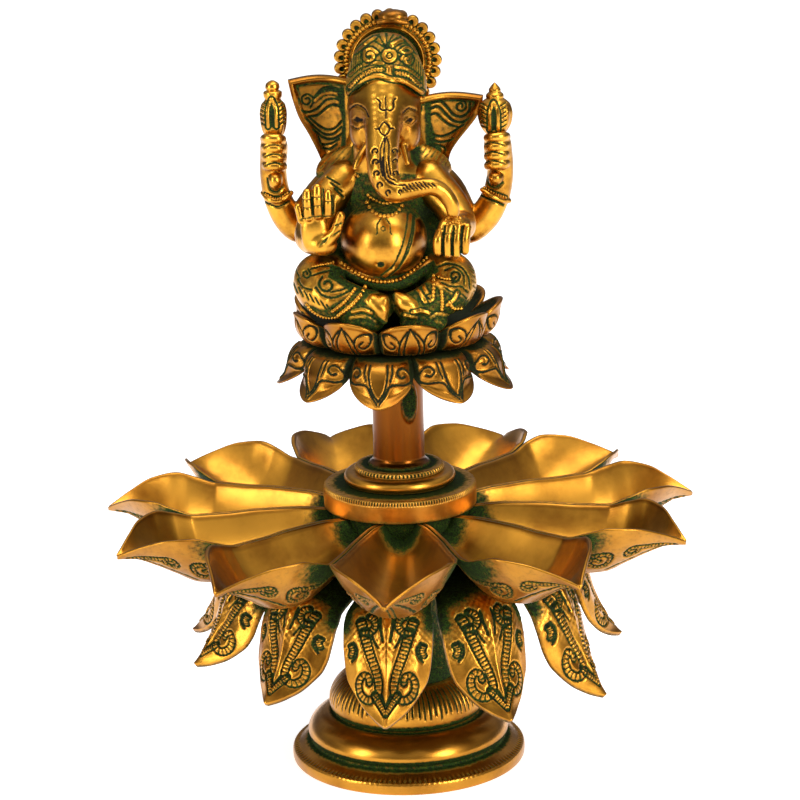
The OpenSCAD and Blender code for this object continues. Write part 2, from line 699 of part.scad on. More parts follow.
// Head: brow, cheeks, ears, tusks, trunk and crown.
head_blob_shares = [
    [[-0.02, -0.07, 0.66], [0.135, 0.13, 0.14]],
    [[-0.075, -0.10, 0.625], [0.07, 0.08, 0.08]],
    [[0.035, -0.10, 0.62], [0.07, 0.08, 0.08]]
];
jaw_share = [-0.02, -0.04, 0.62, 0.10];
tusk_shares = [
    [[-0.085, -0.15, 0.585, 0.018], [-0.10, -0.20, 0.565, 0.012]],
    [[0.045, -0.15, 0.58, 0.018], [0.06, -0.20, 0.56, 0.012]]
];
trunk_shares = [
    [-0.02, -0.13, 0.70, 0.10], [-0.03, -0.20, 0.65, 0.082], [-0.035, -0.265, 0.58, 0.068],
    [-0.035, -0.315, 0.51, 0.060], [-0.012, -0.332, 0.455, 0.055], [0.04, -0.325, 0.435, 0.048],
    [0.10, -0.312, 0.44, 0.041], [0.155, -0.30, 0.43, 0.035], [0.195, -0.295, 0.395, 0.030]
];

// Rows of an ear: height, then the places of its root edge and of its free edge.
left_ear_shares = [
    [0.78, -0.10, -0.30], [0.75, -0.10, -0.31], [0.70, -0.10, -0.275], [0.65, -0.10, -0.25],
    [0.60, -0.10, -0.225], [0.55, -0.10, -0.195], [0.52, -0.12, -0.165]
];
right_ear_shares = [
    [0.72, 0.06, 0.31], [0.69, 0.06, 0.315], [0.65, 0.06, 0.27], [0.61, 0.06, 0.24],
    [0.565, 0.06, 0.21], [0.52, 0.07, 0.185], [0.49, 0.10, 0.155]
];
ear_steps_across = 4;
ear_sweep_share = 0.05;
ear_cup_share = 0.03;

function ear_grid(rows, depth) = [
    for (row = rows) [
        for (j = [0 : ear_steps_across])
            let (u = j / ear_steps_across)
            place([
                row[1] + (row[2] - row[1]) * u,
                ear_sweep_share * u + ear_cup_share * sin(180 * u),
                row[0]
            ]) + [0, depth, 0]
    ]
];

// Crown: rows of radius and height, with a row of leaf-shaped lobes round its front.
crown_place_share = [-0.015, -0.03, 0];
crown_profile_shares = [
    [0, 0.74], [0.135, 0.745], [0.14, 0.775], [0.128, 0.79], [0.124, 0.815], [0.108, 0.85],
    [0.085, 0.885], [0.05, 0.91], [0.03, 0.925], [0.034, 0.94], [0.02, 0.955], [0, 0.96]
];
crown_lobe_shares = [[0, -0.134, 0.782, 0.014], [0, -0.118, 0.83, 0.009]];
crown_lobe_turn = 24;
crown_lobe_end = 72;

module head_forms() {
    for (form = head_blob_shares) {
        blob(form[0], form[1]);
    }
    bridge(neck_high_share, jaw_share, blob_fn);
    sheet(ear_grid(left_ear_shares, ear_t), ear_grid(left_ear_shares, 0));
    sheet(ear_grid(right_ear_shares, 0), ear_grid(right_ear_shares, ear_t));
    for (tusk = tusk_shares) {
        bridge(tusk[0], tusk[1], digit_fn);
    }
}

module crown_forms() {
    translate(place(crown_place_share)) {
        rotate_extrude($fn = blob_fn * 2) polygon([for (row = crown_profile_shares) row * figure_h]);
        for (a = [-crown_lobe_end : crown_lobe_turn : crown_lobe_end]) {
            rotate([0, 0, a]) bridge(crown_lobe_shares[0], crown_lobe_shares[1], digit_fn);
        }
    }
}

module figure_head() {
    color("#b98433") on_seat() {
        limb(trunk_shares);
        intersection() {
            union() {
                head_forms();
                crown_forms();
            }
            translate([-figure_h, -figure_h, neck_plane_share * figure_h])
                cube([2 * figure_h, (1 + halo_front_share) * figure_h, figure_h]);
        }
    }
}

// Halo: a round plate behind the crown with lobes round its edge, the highest one on top.
halo_centre_share = [0.01, halo_front_share, 0.81];
halo_r_share = 0.138;
halo_lobe_share = 0.02;
halo_lobes = 15;
halo_lobe_from = -25;
halo_lobe_to = 205;

module halo_arch() {
    halo_r = halo_r_share * figure_h;
    lobe_r = halo_t / 2;
    color("#b07a2a") on_seat() translate(place(halo_centre_share)) {
        rotate([-90, 0, 0]) cylinder(h = halo_t, r = halo_r, $fn = blob_fn * 2);
        for (k = [0 : halo_lobes - 1]) {
            rotate([0, -halo_lobe_from - (halo_lobe_to - halo_lobe_from) * k / (halo_lobes - 1), 0])
                hull() for (reach = [halo_r, halo_r + halo_lobe_share * figure_h])
                    translate([reach, lobe_r, 0]) sphere(lobe_r, $fn = lobe_fn);
        }
    }
}

foot();
fluted_knop();
neck();
leaf_hub();
for (i = [0 : petal_count - 1]) leaf(i);
lamp_hub();
for (i = [0 : petal_count - 1]) oil_petal(i);
collar_base();
collar_ring();
collar_cap();
washer();
tie_nut();
tie_rod();
column();
lotus_lower_tier();
lotus_upper_tier();
figure_body();
figure_head();
halo_arch();
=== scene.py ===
"""Looks of a cast and turned brass aarti lamp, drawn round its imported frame."""
import math

import bpy
import numpy as np
from mathutils import Matrix, Vector


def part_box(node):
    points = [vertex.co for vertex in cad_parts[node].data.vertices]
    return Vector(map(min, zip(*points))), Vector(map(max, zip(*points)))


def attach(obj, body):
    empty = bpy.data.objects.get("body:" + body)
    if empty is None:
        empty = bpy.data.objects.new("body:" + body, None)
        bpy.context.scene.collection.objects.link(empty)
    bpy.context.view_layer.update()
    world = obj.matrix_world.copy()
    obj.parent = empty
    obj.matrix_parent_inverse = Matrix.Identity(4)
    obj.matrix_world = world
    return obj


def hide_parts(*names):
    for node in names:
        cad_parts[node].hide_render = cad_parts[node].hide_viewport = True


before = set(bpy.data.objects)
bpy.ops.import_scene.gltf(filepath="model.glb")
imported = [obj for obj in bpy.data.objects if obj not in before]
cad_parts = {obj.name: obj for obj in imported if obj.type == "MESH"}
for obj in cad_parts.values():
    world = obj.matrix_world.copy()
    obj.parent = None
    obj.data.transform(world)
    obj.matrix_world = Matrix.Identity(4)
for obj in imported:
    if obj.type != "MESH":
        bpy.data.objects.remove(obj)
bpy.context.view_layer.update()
MM = 0.001


def extent(node):
    """Lowest and highest corners of a node of the frame, in mm."""
    low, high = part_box(node)
    return np.array(low) / MM, np.array(high) / MM


# Camera: it stands in front of the lamp and a little above it, and is turned slightly on its
# axis, as the photograph's own frame is.
CAMERA_PLACE = (0.0, -1.065, 0.424)
CAMERA_PITCH = math.radians(14.62)
CAMERA_ROLL = math.radians(1.5)
CAMERA_LENS = 127.3
CAMERA_SENSOR = 36.0
CAMERA_SHIFT = 0.0029
CAMERA_NEAR = 0.01


def make_camera():
    """Places the camera as the photograph's own stood."""
    data = bpy.data.cameras.new("camera")
    data.lens = CAMERA_LENS
    data.sensor_width = CAMERA_SENSOR
    data.shift_x = CAMERA_SHIFT
    data.clip_start = CAMERA_NEAR
    camera = bpy.data.objects.new("camera", data)
    bpy.context.scene.collection.objects.link(camera)
    tilt = Matrix.Rotation(math.pi / 2 - CAMERA_PITCH, 4, "X")
    roll = Matrix.Rotation(-CAMERA_ROLL, 4, "Z")
    camera.matrix_world = Matrix.Translation(CAMERA_PLACE) @ tilt @ roll
    bpy.context.scene.camera = camera
    bpy.context.scene.view_settings.view_transform = "Standard"


# Node helpers.
def add(tree, kind, inputs=None, **settings):
    """Adds one shader node, with its settings, and its sockets' values or links by name."""
    node = tree.nodes.new("ShaderNode" + kind)
    for key, value in settings.items():
        setattr(node, key, value)
    for key, value in (inputs or {}).items():
        if isinstance(value, bpy.types.NodeSocket):
            tree.links.new(value, node.inputs[key])
        else:
            node.inputs[key].default_value = value
    return node


def colour(code):
    """An sRGB hex colour as linear red, green, blue and alpha."""
    parts = [int(code[k:k + 2], 16) / 255 for k in (1, 3, 5)]
    return [p / 12.92 if p <= 0.04045 else ((p + 0.055) / 1.055) ** 2.4 for p in parts] + [1.0]


def maths(tree, operation, *values):
    """The result of one Math node."""
    return add(tree, "Math", dict(enumerate(values)), operation=operation).outputs[0]


def ramp(tree, value, start, end, low=0.0, high=1.0, kind="LINEAR"):
    """Turns start to end of a value into low to high, and holds it there beyond."""
    return add(tree, "MapRange", {"Value": value, "From Min": start, "From Max": end, "To Min": low,
                                  "To Max": high}, interpolation_type=kind).outputs[0]


def mixed(tree, share, *pair):
    """Two colours, each a hex code or a link, mixed by a share."""
    first, second = (colour(c) if isinstance(c, str) else c for c in pair)
    return add(tree, "MixRGB", {"Fac": share, "Color1": first, "Color2": second}).outputs[0]


def noise(tree, size_mm, detail, roughness=0.5):
    """Noise that rides with the piece, with lumps of about that size."""
    place = add(tree, "TexCoord").outputs["Object"]
    return add(tree, "TexNoise", {"Vector": place, "Scale": 1 / (size_mm * MM), "Detail": detail,
                                  "Roughness": roughness}).outputs["Fac"]


def new_material(name):
    """An empty material and its node tree."""
    material = bpy.data.materials.new(name)
    material.use_nodes = True
    material.node_tree.nodes.clear()
    return material, material.node_tree


# Studio.
WHITE = (1, 1, 1, 1)
ROOM_DARK = 0.13
ROOM_PALE = 0.62


def seen_directly(tree):
    """1 for rays that show the backdrop itself: from the camera, in metal or through glass."""
    path = add(tree, "LightPath")
    either = maths(tree, "MAXIMUM", path.outputs["Is Camera Ray"], path.outputs["Is Glossy Ray"])
    return maths(tree, "MAXIMUM", either, path.outputs["Is Transmission Ray"])


def make_world():
    """A dim room with a pale ceiling, which the camera sees as white."""
    world = bpy.data.worlds.new("studio")
    bpy.context.scene.world = world
    world.use_nodes = True
    tree = world.node_tree
    tree.nodes.clear()
    way = add(tree, "TexCoord").outputs["Generated"]
    height = add(tree, "SeparateXYZ", {0: way}).outputs["Z"]
    room = ramp(tree, height, 0.15, 0.85, ROOM_DARK, ROOM_PALE, "SMOOTHSTEP")
    tone = add(tree, "CombineColor", {0: room, 1: room, 2: room})
    seen = add(tree, "LightPath").outputs["Is Camera Ray"]
    lit = add(tree, "Background", {"Color": tone.outputs[0], "Strength": 1.0})
    white = add(tree, "Background", {"Color": WHITE, "Strength": 1.0})
    shown = add(tree, "MixShader", {0: seen, 1: lit.outputs[0], 2: white.outputs[0]})
    add(tree, "OutputWorld", {0: shown.outputs[0]})


FLOOR_SIZE = 9.0
FLOOR_PAINT = "#F2F2F2"
FLOOR_GLOW = 0.72


def make_floor():
    """A pale plain floor, which the camera sees as white but for the lamp's soft shadow."""
    half = FLOOR_SIZE / 2
    mesh = bpy.data.meshes.new("floor")
    mesh.from_pydata([(-half, -half, 0), (half, -half, 0), (half, half, 0), (-half, half, 0)], [],
                     [(0, 1, 2, 3)])
    floor = bpy.data.objects.new("floor", mesh)
    bpy.context.scene.collection.objects.link(floor)
    material, tree = new_material("pale_floor")
    paint = add(tree, "BsdfDiffuse", {"Color": colour(FLOOR_PAINT)})
    glow = add(tree, "Emission", {"Color": WHITE, "Strength": FLOOR_GLOW})
    both = add(tree, "AddShader", {0: paint.outputs[0], 1: glow.outputs[0]})
    shown = add(tree, "MixShader", {0: seen_directly(tree), 1: paint.outputs[0], 2: both.outputs[0]})
    add(tree, "OutputMaterial", {0: shown.outputs[0]})
    mesh.materials.append(material)


def softbox(name, place, target, width, height, watts):
    """A rectangular lamp that faces its target."""
    data = bpy.data.lights.new(name, "AREA")
    data.shape = "RECTANGLE"
    data.size, data.size_y, data.energy = width, height, watts
    lamp = bpy.data.objects.new(name, data)
    way = Vector(target) - Vector(place)
    lamp.matrix_world = Matrix.Translation(place) @ way.to_track_quat("-Z", "Y").to_matrix().to_4x4()
    bpy.context.scene.collection.objects.link(lamp)


LIT_HEIGHT = 0.15


def make_lights():
    """Two upright softboxes in front, left and right, and a wide one overhead."""
    target = (0, 0, LIT_HEIGHT)
    softbox("key_right", (0.95, -1.1, 0.62), target, 0.35, 0.9, 15)
    softbox("fill_left", (-1.15, -0.75, 0.55), target, 0.3, 0.9, 9)
    softbox("overhead", (0.1, -0.15, 1.35), target, 1.1, 0.8, 11)


# Curves and patterns. All lengths are in mm until a mesh is written.
def spline(points, steps):
    """A Catmull-Rom curve through given points: each span is the cubic whose slopes at its
    two ends are half the chord between the neighbours."""
    p = np.asarray(points, float)
    p = np.vstack([2 * p[0] - p[1], p, 2 * p[-1] - p[-2]])
    a, b, c, d = (p[k:len(p) - 3 + k][:, None] for k in range(4))
    u = np.linspace(0, 1, steps, endpoint=False)[None, :, None]
    spans = 0.5 * (2 * b + (c - a) * u + (2 * a - 5 * b + 4 * c - d) * u ** 2
                   + (3 * b - a - 3 * c + d) * u ** 3)
    return np.vstack([spans.reshape(-1, p.shape[1]), p[-2]])


def smooth(x):
    """0 below 0, 1 above 1, and an even S between."""
    x = np.clip(x, 0, 1)
    return x * x * (3 - 2 * x)


def eased(x, xs, ys):
    """Values of ys over xs, joined by a cubic that keeps each stretch between its ends."""
    xs, ys = np.asarray(xs, float), np.asarray(ys, float)
    steps = np.diff(xs)
    rises = np.diff(ys) / steps
    slopes = np.zeros(len(xs))
    same = rises[:-1] * rises[1:] > 0
    slopes[1:-1][same] = 2 * (rises[:-1] * rises[1:])[same] / (rises[:-1] + rises[1:])[same]
    slopes[0], slopes[-1] = rises[0], rises[-1]
    k = np.clip(np.searchsorted(xs, x) - 1, 0, len(steps) - 1)
    t = np.clip((x - xs[k]) / steps[k], 0, 1)
    return (ys[k] * (1 + 2 * t) * (1 - t) ** 2 + ys[k + 1] * t * t * (3 - 2 * t)
            + steps[k] * t * (1 - t) * (slopes[k] * (1 - t) - slopes[k + 1] * t))


def stroke(q, line):
    """For every point of q: its distance to the line, and how far along the line that is."""
    best = np.full(len(q), np.inf)
    along = np.zeros(len(q))
    start = 0.0
    for a, b in zip(line[:-1], line[1:]):
        way = b - a
        length = math.hypot(*way)
        w = q - a
        t = np.clip(w @ way / max(length, 1e-9) ** 2, 0, 1)
        gap = np.hypot(w[:, 0] - t * way[0], w[:, 1] - t * way[1])
        near = gap < best
        best[near] = gap[near]
        along[near] = start + t[near] * length
        start += length
    return best, along


def cut(distance, width):
    """1 on a line of that width and 0 beside it, with soft edges."""
    return smooth((width / 2 - distance) / (0.3 * width) + 0.5)


def ladder(distance, along, width, pitch):
    """Rungs across a band: dark for a third of each pitch."""
    inside = smooth((width / 2 - distance) / 0.3 + 0.5)
    wave = np.abs((along / pitch) % 1 - 0.5) * 2
    return inside * smooth((wave - 0.45) / 0.3)


def grid_quads(rows, cols, wrap):
    """The four corners of each cell of a grid of points; wrap joins its last column to its first."""
    i, j = np.meshgrid(np.arange(rows - 1), np.arange(cols if wrap else cols - 1), indexing="ij")
    k = (j + 1) % cols
    return np.stack([i * cols + j, i * cols + k, (i + 1) * cols + k, (i + 1) * cols + j],
                    -1).reshape(-1, 4)


def finish_piece(name, points, faces, body, nodes, material, slot, **fields):
    """Writes points in mm and faces, a list of corner arrays, to a mesh piece that stands for nodes."""
    mesh = bpy.data.meshes.new(name)
    mesh.vertices.add(len(points))
    mesh.vertices.foreach_set("co", (np.asarray(points) * MM).astype(np.float32).ravel())
    corners = np.concatenate([f.ravel() for f in faces]).astype(np.int32)
    sizes = np.concatenate([np.full(len(f), f.shape[1]) for f in faces])
    mesh.loops.add(len(corners))
    mesh.loops.foreach_set("vertex_index", corners)
    mesh.polygons.add(len(sizes))
    mesh.polygons.foreach_set("loop_start", np.r_[0, np.cumsum(sizes)[:-1]].astype(np.int32))
    mesh.polygons.foreach_set("use_smooth", np.ones(len(sizes), bool))
    for key, values in fields.items():
        layer = mesh.attributes.new(key, "FLOAT", "POINT")
        layer.data.foreach_set("value", np.asarray(values, np.float32).ravel())
    mesh.update(calc_edges=True)
    mesh.validate()
    mesh.materials.append(material)
    piece = bpy.data.objects.new(name, mesh)
    bpy.context.scene.collection.objects.link(piece)
    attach(piece, body)
    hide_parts(*nodes)


def finish_single(name, points, faces, body, material, slot, **fields):
    """A piece that stands for the one node of its own name."""
    finish_piece(name, points, faces, body, [name], material, slot, **fields)


def finish_cast(name, points, faces, node, material, **fields):
    """A piece of the figure, which stands for a node of it together with others."""
    finish_piece(name, points, faces, "figure_section", [node], material, "figure_brass", **fields)


def tube_mesh(rings):
    """Points and faces of a closed skin over rings of points, whose two ends are fans."""
    rows, cols, _ = rings.shape
    points = np.vstack([rings.reshape(-1, 3), rings[0].mean(0), rings[-1].mean(0)])
    j = np.arange(cols)
    k = (j + 1) % cols
    first = np.stack([np.full(cols, rows * cols), k, j], -1)
    last = np.stack([np.full(cols, rows * cols + 1), (rows - 1) * cols + j, (rows - 1) * cols + k], -1)
    return points, [grid_quads(rows, cols, True), first, last]


def end_values(field):
    """A field on the rings, with the value at each end's middle added."""
    return np.r_[field.ravel(), field[0].mean(), field[-1].mean()]


# Finishes.
LACQUER = 0.06
TARNISHED = "#8A5416"
# Brown of tarnished bare metal, and on the figure the colour of painted shade.
BROWN = "#6C3808"
VERDIGRIS = "#38580E"
GRIME = "#111606"
SOOT = "#150E04"
SPECK_MM = 1.6
GRAIN_MM = 0.5
GRAIN_DEPTH = 0.3 * MM
GRAIN_STRENGTH = 0.12
CRUST_METAL = 0.15
CRUST_ROUGHNESS = 0.72


def brass(name, polished, tarnish, roughness, cloud_mm, crusted=0.0):
    """Cast copper-zinc brass, buffed by hand: its high places shine like gold, its hollows hold a
    matt brown-green crust, and a thin lacquer whitens the brightest lights. The patina field says
    how much crust a place holds, tone how brown its bare metal is painted, and soot how black its
    crust is. On the column, petals, lotus, ears and halo knob that brown is tarnish; on the
    figure's castings it is painted shade where the metal is half shut in and round the eyes, and
    brown laid on the belly's sides. A node without those fields has the even crust of the last
    argument."""
    material, tree = new_material(name)
    patina, tone, soot = (add(tree, "Attribute", attribute_name=field).outputs["Fac"]
                          for field in ("patina", "tone", "soot"))
    grain = noise(tree, GRAIN_MM, 2.0)
    clouds = ramp(tree, noise(tree, cloud_mm, 4.0, 0.6), 0.35, 0.75, 0.0, tarnish * 2, "SMOOTHSTEP")
    # Tone mixes in brown: tarnish on most pieces, painted shade on the figure's castings.
    metal = mixed(tree, tone, mixed(tree, clouds, polished, TARNISHED), BROWN)
    ragged = maths(tree, "SUBTRACT", noise(tree, SPECK_MM, 3.0), 0.5)
    held = maths(tree, "MULTIPLY_ADD", ragged, 0.9, maths(tree, "ADD", patina, crusted))
    crust = ramp(tree, held, 0.12, 0.8, kind="SMOOTHSTEP")
    deep = ramp(tree, held, 0.55, 1.15)
    motes = ramp(tree, grain, 0.42, 0.6, 1.0, 0.25)
    green = mixed(tree, maths(tree, "MAXIMUM", deep, motes), VERDIGRIS, GRIME)
    base = mixed(tree, crust, metal, mixed(tree, soot, green, SOOT))
    bump = add(tree, "Bump", {"Strength": GRAIN_STRENGTH, "Distance": GRAIN_DEPTH, "Height": grain})
    surface = add(tree, "BsdfPrincipled", {
        "Base Color": base, "Normal": bump.outputs[0], "Specular IOR Level": 0.15,
        "Metallic": ramp(tree, crust, 0.0, 1.0, 1.0, CRUST_METAL),
        "Roughness": ramp(tree, crust, 0.0, 1.0, roughness, CRUST_ROUGHNESS),
        "Coat Weight": ramp(tree, crust, 0.0, 1.0, LACQUER, 0.0), "Coat Roughness": 0.16})
    add(tree, "OutputMaterial", {0: surface.outputs[0]})
    return material


def steel(name):
    """Bright mild steel of a bought rod, nut and washer: grey, brushed, a little dull."""
    material, tree = new_material(name)
    tone = mixed(tree, noise(tree, 0.8, 3.0), "#8C8A84", "#B4B2AC")
    surface = add(tree, "BsdfPrincipled", {"Base Color": tone, "Metallic": 1.0, "Roughness": 0.38})
    add(tree, "OutputMaterial", {0: surface.outputs[0]})
    return material


# Turned pieces: the foot, knop, neck, collar and column.
ROUND_COLUMNS = 192
BORE = 4.4


def chaikin(points):
    """Cuts the corners of an open outline twice, a quarter and three quarters along each side."""
    p = np.asarray(points, float)
    for _ in range(2):
        near = p[:-1] * 0.75 + p[1:] * 0.25
        far = p[:-1] * 0.25 + p[1:] * 0.75
        p = np.vstack([p[:1], np.stack([near, far], 1).reshape(-1, 2), p[-1:]])
    return p


def stepped(points, gap):
    """An outline with points added, so that no two neighbours lie further apart than the gap."""
    out = [points[:1]]
    for a, b in zip(points[:-1], points[1:]):
        n = max(1, math.ceil(math.dist(a, b) / gap))
        out.append(a + (b - a) * (np.arange(1, n + 1) / n)[:, None])
    return np.vstack(out)


def turned(name, outline, columns, relief, material, slot, body="stand", shift=0.0, tone=0.0):
    """A turned piece: every outline point [radius, height] goes round the axis, and relief gives
    how far it stands out and how much patina it holds, from its radius, height and angle. The
    clamped stack lets a piece sit a little off the axis: shift is how far it sits along X."""
    angle = np.arange(columns) / columns * 2 * math.pi
    r, z = outline[:, :1], outline[:, 1:]
    out, patina = relief(r, z, angle[None, :])
    way = np.gradient(outline, axis=0)
    way /= np.maximum(np.linalg.norm(way, axis=1, keepdims=True), 1e-9)
    radius = r + out * way[:, 1:]
    height = z - out * way[:, :1]
    rings = np.stack([shift + radius * np.sin(angle), -radius * np.cos(angle), height + 0 * angle], -1)
    points, faces = tube_mesh(rings)
    finish_single(name, points, faces, body, material, slot, patina=end_values(patina + 0 * angle),
                  tone=end_values(tone + 0 * radius))


def groove_near(value, centre, width):
    """A soft bump, 1 at the centre and 0 past the width."""
    return smooth(1 - np.abs(value - centre) / width)


def milling(angle, count):
    """Notches round an edge: 1 in each notch and 0 on the tooth beside it."""
    return smooth((0.15 + 0.5 * np.cos(angle * count)) / 0.4)


def waves(angle, seed):
    """A slow unevenness round a hand-finished piece, from -1 to 1."""
    rng = np.random.default_rng(seed)
    return sum(np.cos((k + 1) * angle + rng.uniform(0, 2 * math.pi)) / (k + 1) for k in range(5)) / 2.3


FOOT_R, _, FOOT_TOP = extent("foot")[1]
FOOT_EDGE_H = 5.4
FOOT_GROOVE = (39.4, 8.5)
FOOT_TOP_R = 30.4
FOOT_NOTCHES = 142
FOOT_CEILING_Z = 16.0
FOOT_SHIFT = 0.9


def make_foot(material):
    """A disc with a milled upper edge, a hollow slope, a dark groove and a bull-nose above it."""
    top, ceiling = FOOT_TOP, FOOT_CEILING_Z
    groove_r, groove_z = FOOT_GROOVE
    edge = [[FOOT_R - 1.6, 0], [FOOT_R - 0.5, 0.2], [FOOT_R, 1.2], [FOOT_R, FOOT_EDGE_H - 1.3],
            [FOOT_R - 0.5, FOOT_EDGE_H - 0.3], [FOOT_R - 1.4, FOOT_EDGE_H + 0.1]]
    slope = [[FOOT_R - 3, FOOT_EDGE_H + 0.6], [groove_r + 1.3, groove_z - 0.9],
             [groove_r - 0.5, groove_z - 0.7], [groove_r - 0.8, groove_z + 0.4]]
    nose = [[groove_r + 0.4, groove_z + 1.6], [groove_r + 0.8, groove_z + 4.0],
            [groove_r - 0.9, groove_z + 7.2], [groove_r - 4.2, groove_z + 9.8],
            [FOOT_TOP_R + 1.2, top - 0.3], [FOOT_TOP_R, top - 0.6], [FOOT_TOP_R - 1, top]]
    outer = stepped(chaikin(edge + slope + nose), 1.0)
    inner = [[37.8, 0.4], [37.4, 5.4], [37.2, 8.5], [35.5, 11.8], [31, 14.6], [26.4, ceiling],
             [12, ceiling], [BORE, ceiling]]
    hollow = stepped(chaikin(inner), 3.0)[::-1]
    cover = [[FOOT_TOP_R - 12, top], [BORE, top], [BORE, ceiling]]
    outline = np.vstack([hollow, [[40.4, 0]], outer, cover])

    def relief(r, z, angle):
        outside = (r > 30) & (z > 0.1)
        notch = milling(angle, FOOT_NOTCHES) * groove_near(r, FOOT_R - 1.6, 1.9) * (z > 4)
        patina = 0.95 * groove_near(r, groove_r + 0.2, 3.0) * (z > 6.6) * (z < 11.2)
        patina = patina + 0.75 * notch + 0.95 * groove_near(r, FOOT_TOP_R, 2.2) * (z > 17.4)
        patina = np.where((r < 37.9) & (z < 16.05), 0.8, patina)
        return np.where(outside, -0.42 * notch + 0.05 * waves(angle, 3), 0 * angle), patina

    turned("foot", outline, FOOT_NOTCHES * 4, relief, material, "turned_brass", shift=FOOT_SHIFT)


KNOP_LINES = 82
KNOP_SHIFT = 0.5
LINE_WIDTH = 0.85
LINE_DEPTH = 0.5


def make_knop(material):
    """A low dome with lines cut down its side by hand, each a little longer or shorter."""
    (_, _, low), (r, _, top) = extent("fluted_knop")
    side = [[28.8, low], [29.6, low + 0.2], [30.6, low + 1.6], [r, low + 3.9], [r - 0.3, low + 7],
            [r - 1.9, low + 10.4], [r - 4.6, low + 13.3], [r - 7.6, top - 0.9], [r - 9, top - 0.1],
            [20.5, top]]
    outer = stepped(chaikin(side), 0.55)
    outline = np.vstack([[[BORE, low], [20, low]], outer, [[12, top], [BORE, top]]])
    rng = np.random.default_rng(7)
    starts = low + 4.4 + rng.uniform(-0.9, 1.3, KNOP_LINES)
    drift = rng.uniform(-0.16, 0.16, KNOP_LINES)

    def relief(r, z, angle):
        turns = angle / (2 * math.pi) * KNOP_LINES
        line = np.round(turns).astype(int) % KNOP_LINES
        across = (turns - np.round(turns) - drift[line]) * 2 * math.pi * 31 / KNOP_LINES
        ends = smooth((z - starts[line]) / 1.6) * smooth(top - 0.4 - z)
        depth = cut(np.abs(across), LINE_WIDTH) * ends
        outside = (r > 21) & (z > low + 1)
        patina = 0.9 * depth * outside + 0.45 * smooth((r < 22.6) * (z - low - 12) / 3)
        patina = patina + 0.85 * smooth((low + 3.2 - z) / 1.6)
        return np.where(outside, -LINE_DEPTH * depth, 0), patina

    turned("fluted_knop", outline, KNOP_LINES * 8, relief, material, "engraved_brass", shift=KNOP_SHIFT)


def make_neck(material):
    """A plain spool, seen through the gaps between the leaves."""
    (_, _, low), (top_r, _, high) = extent("neck")
    side = [[21, low], [21, low + 1.5], [20.2, low + 4], [17.8, low + 10], [15.5, low + 18],
            [15, low + 26], [15.7, low + 33], [17.5, low + 38.5], [21, high - 5],
            [top_r - 0.4, high - 1.2], [top_r, high]]
    outline = np.vstack([[[BORE, low]], stepped(chaikin(side), 1.2), [[BORE, high]]])

    def relief(r, z, angle):
        mottle = 0.5 + 0.5 * waves(angle + z / 9, 11)
        return 0.12 * waves(angle, 5) + 0 * z, 0.6 + 0.3 * mottle + 0 * r

    turned("neck", outline, ROUND_COLUMNS, relief, material, "turned_brass")


# Name, number of notches, their depth, and the radius of the piece that stands on the disc.
MILLED_DISCS = (("collar_base", 166, 0.5, 21.8), ("collar_cap", 72, 0.6, 12.4))
DISC_CORNER = 0.75


def disc_outline(low, high, radius):
    """A flat disc with softened corners, from its bore round the outside and back."""
    corner = DISC_CORNER
    side = [[radius - 3 * corner, low], [radius - corner * 0.6, low], [radius, low + corner],
            [radius, high - corner * 1.4], [radius - corner * 0.7, high - corner * 0.2],
            [radius - corner * 1.8, high], [radius - 4, high]]
    outer = stepped(chaikin(side), 0.5)
    top = stepped(np.array([[radius - 4.1, high], [BORE + 3, high], [BORE, high]]), 1.6)
    return np.vstack([[[BORE, low]], outer, top])


def make_milled_disc(name, notches, deep, seam, material):
    """A disc with a milled upper edge, which is dark round the piece that stands on it."""
    (_, _, low), (radius, _, high) = extent(name)
    spread = 0.8 * (radius - seam)

    def relief(r, z, angle):
        edge = groove_near(r, radius, 1.15) * smooth((z - (high - 2.1)) / 0.5)
        notch = milling(angle, notches) * edge
        patina = 1.0 * notch + 0.95 * smooth((seam + spread - r) / spread) * (z > high - 0.4)
        patina = patina + 0.3 * (z > high - 0.3) * (r < radius - 1.4)
        blotch = smooth(waves(angle * 2 + 1, 9) * 1.3 - 0.2)
        patina = patina + smooth((low + 2.6 - z) / 2.4) * (0.35 + 0.35 * blotch) * (r > radius - 2)
        return -deep * notch + 0.04 * waves(angle, 6), np.clip(patina, 0, 1)

    turned(name, disc_outline(low, high, radius), notches * 6, relief, material, "turned_brass")


def make_collar(polished, milled):
    """Three turned steps: two discs with a milled upper edge, and a round ring between them."""
    for disc in MILLED_DISCS:
        make_milled_disc(*disc, milled)
    (_, _, low), (radius, _, high) = extent("collar_ring")
    middle, half = (low + high) / 2, (high - low) / 2
    turn = np.linspace(-90, 90, 26) * math.pi / 180
    bulge = np.stack([radius - half + half * np.cos(turn), middle + half * np.sin(turn)], -1)
    outline = np.vstack([[[BORE, low], [12, low]], bulge, [[15, high], [9, high], [BORE, high]]])

    def relief(r, z, angle):
        foot = smooth((low + 1.3 - z) / 1.2)
        top = smooth((18.6 - r) / 1.4) * (z > high - 1)
        return 0.04 * waves(angle, 8) + 0 * z, 0.9 * np.maximum(foot, top) + 0 * angle

    turned("collar_ring", outline, ROUND_COLUMNS, relief, polished, "polished_brass")


COLUMN_R = 10.0
BRAZE_ANGLE = math.radians(27)
BRAZE_Z = 147.5
BRAZE_HALF = (3.5, 7.6)


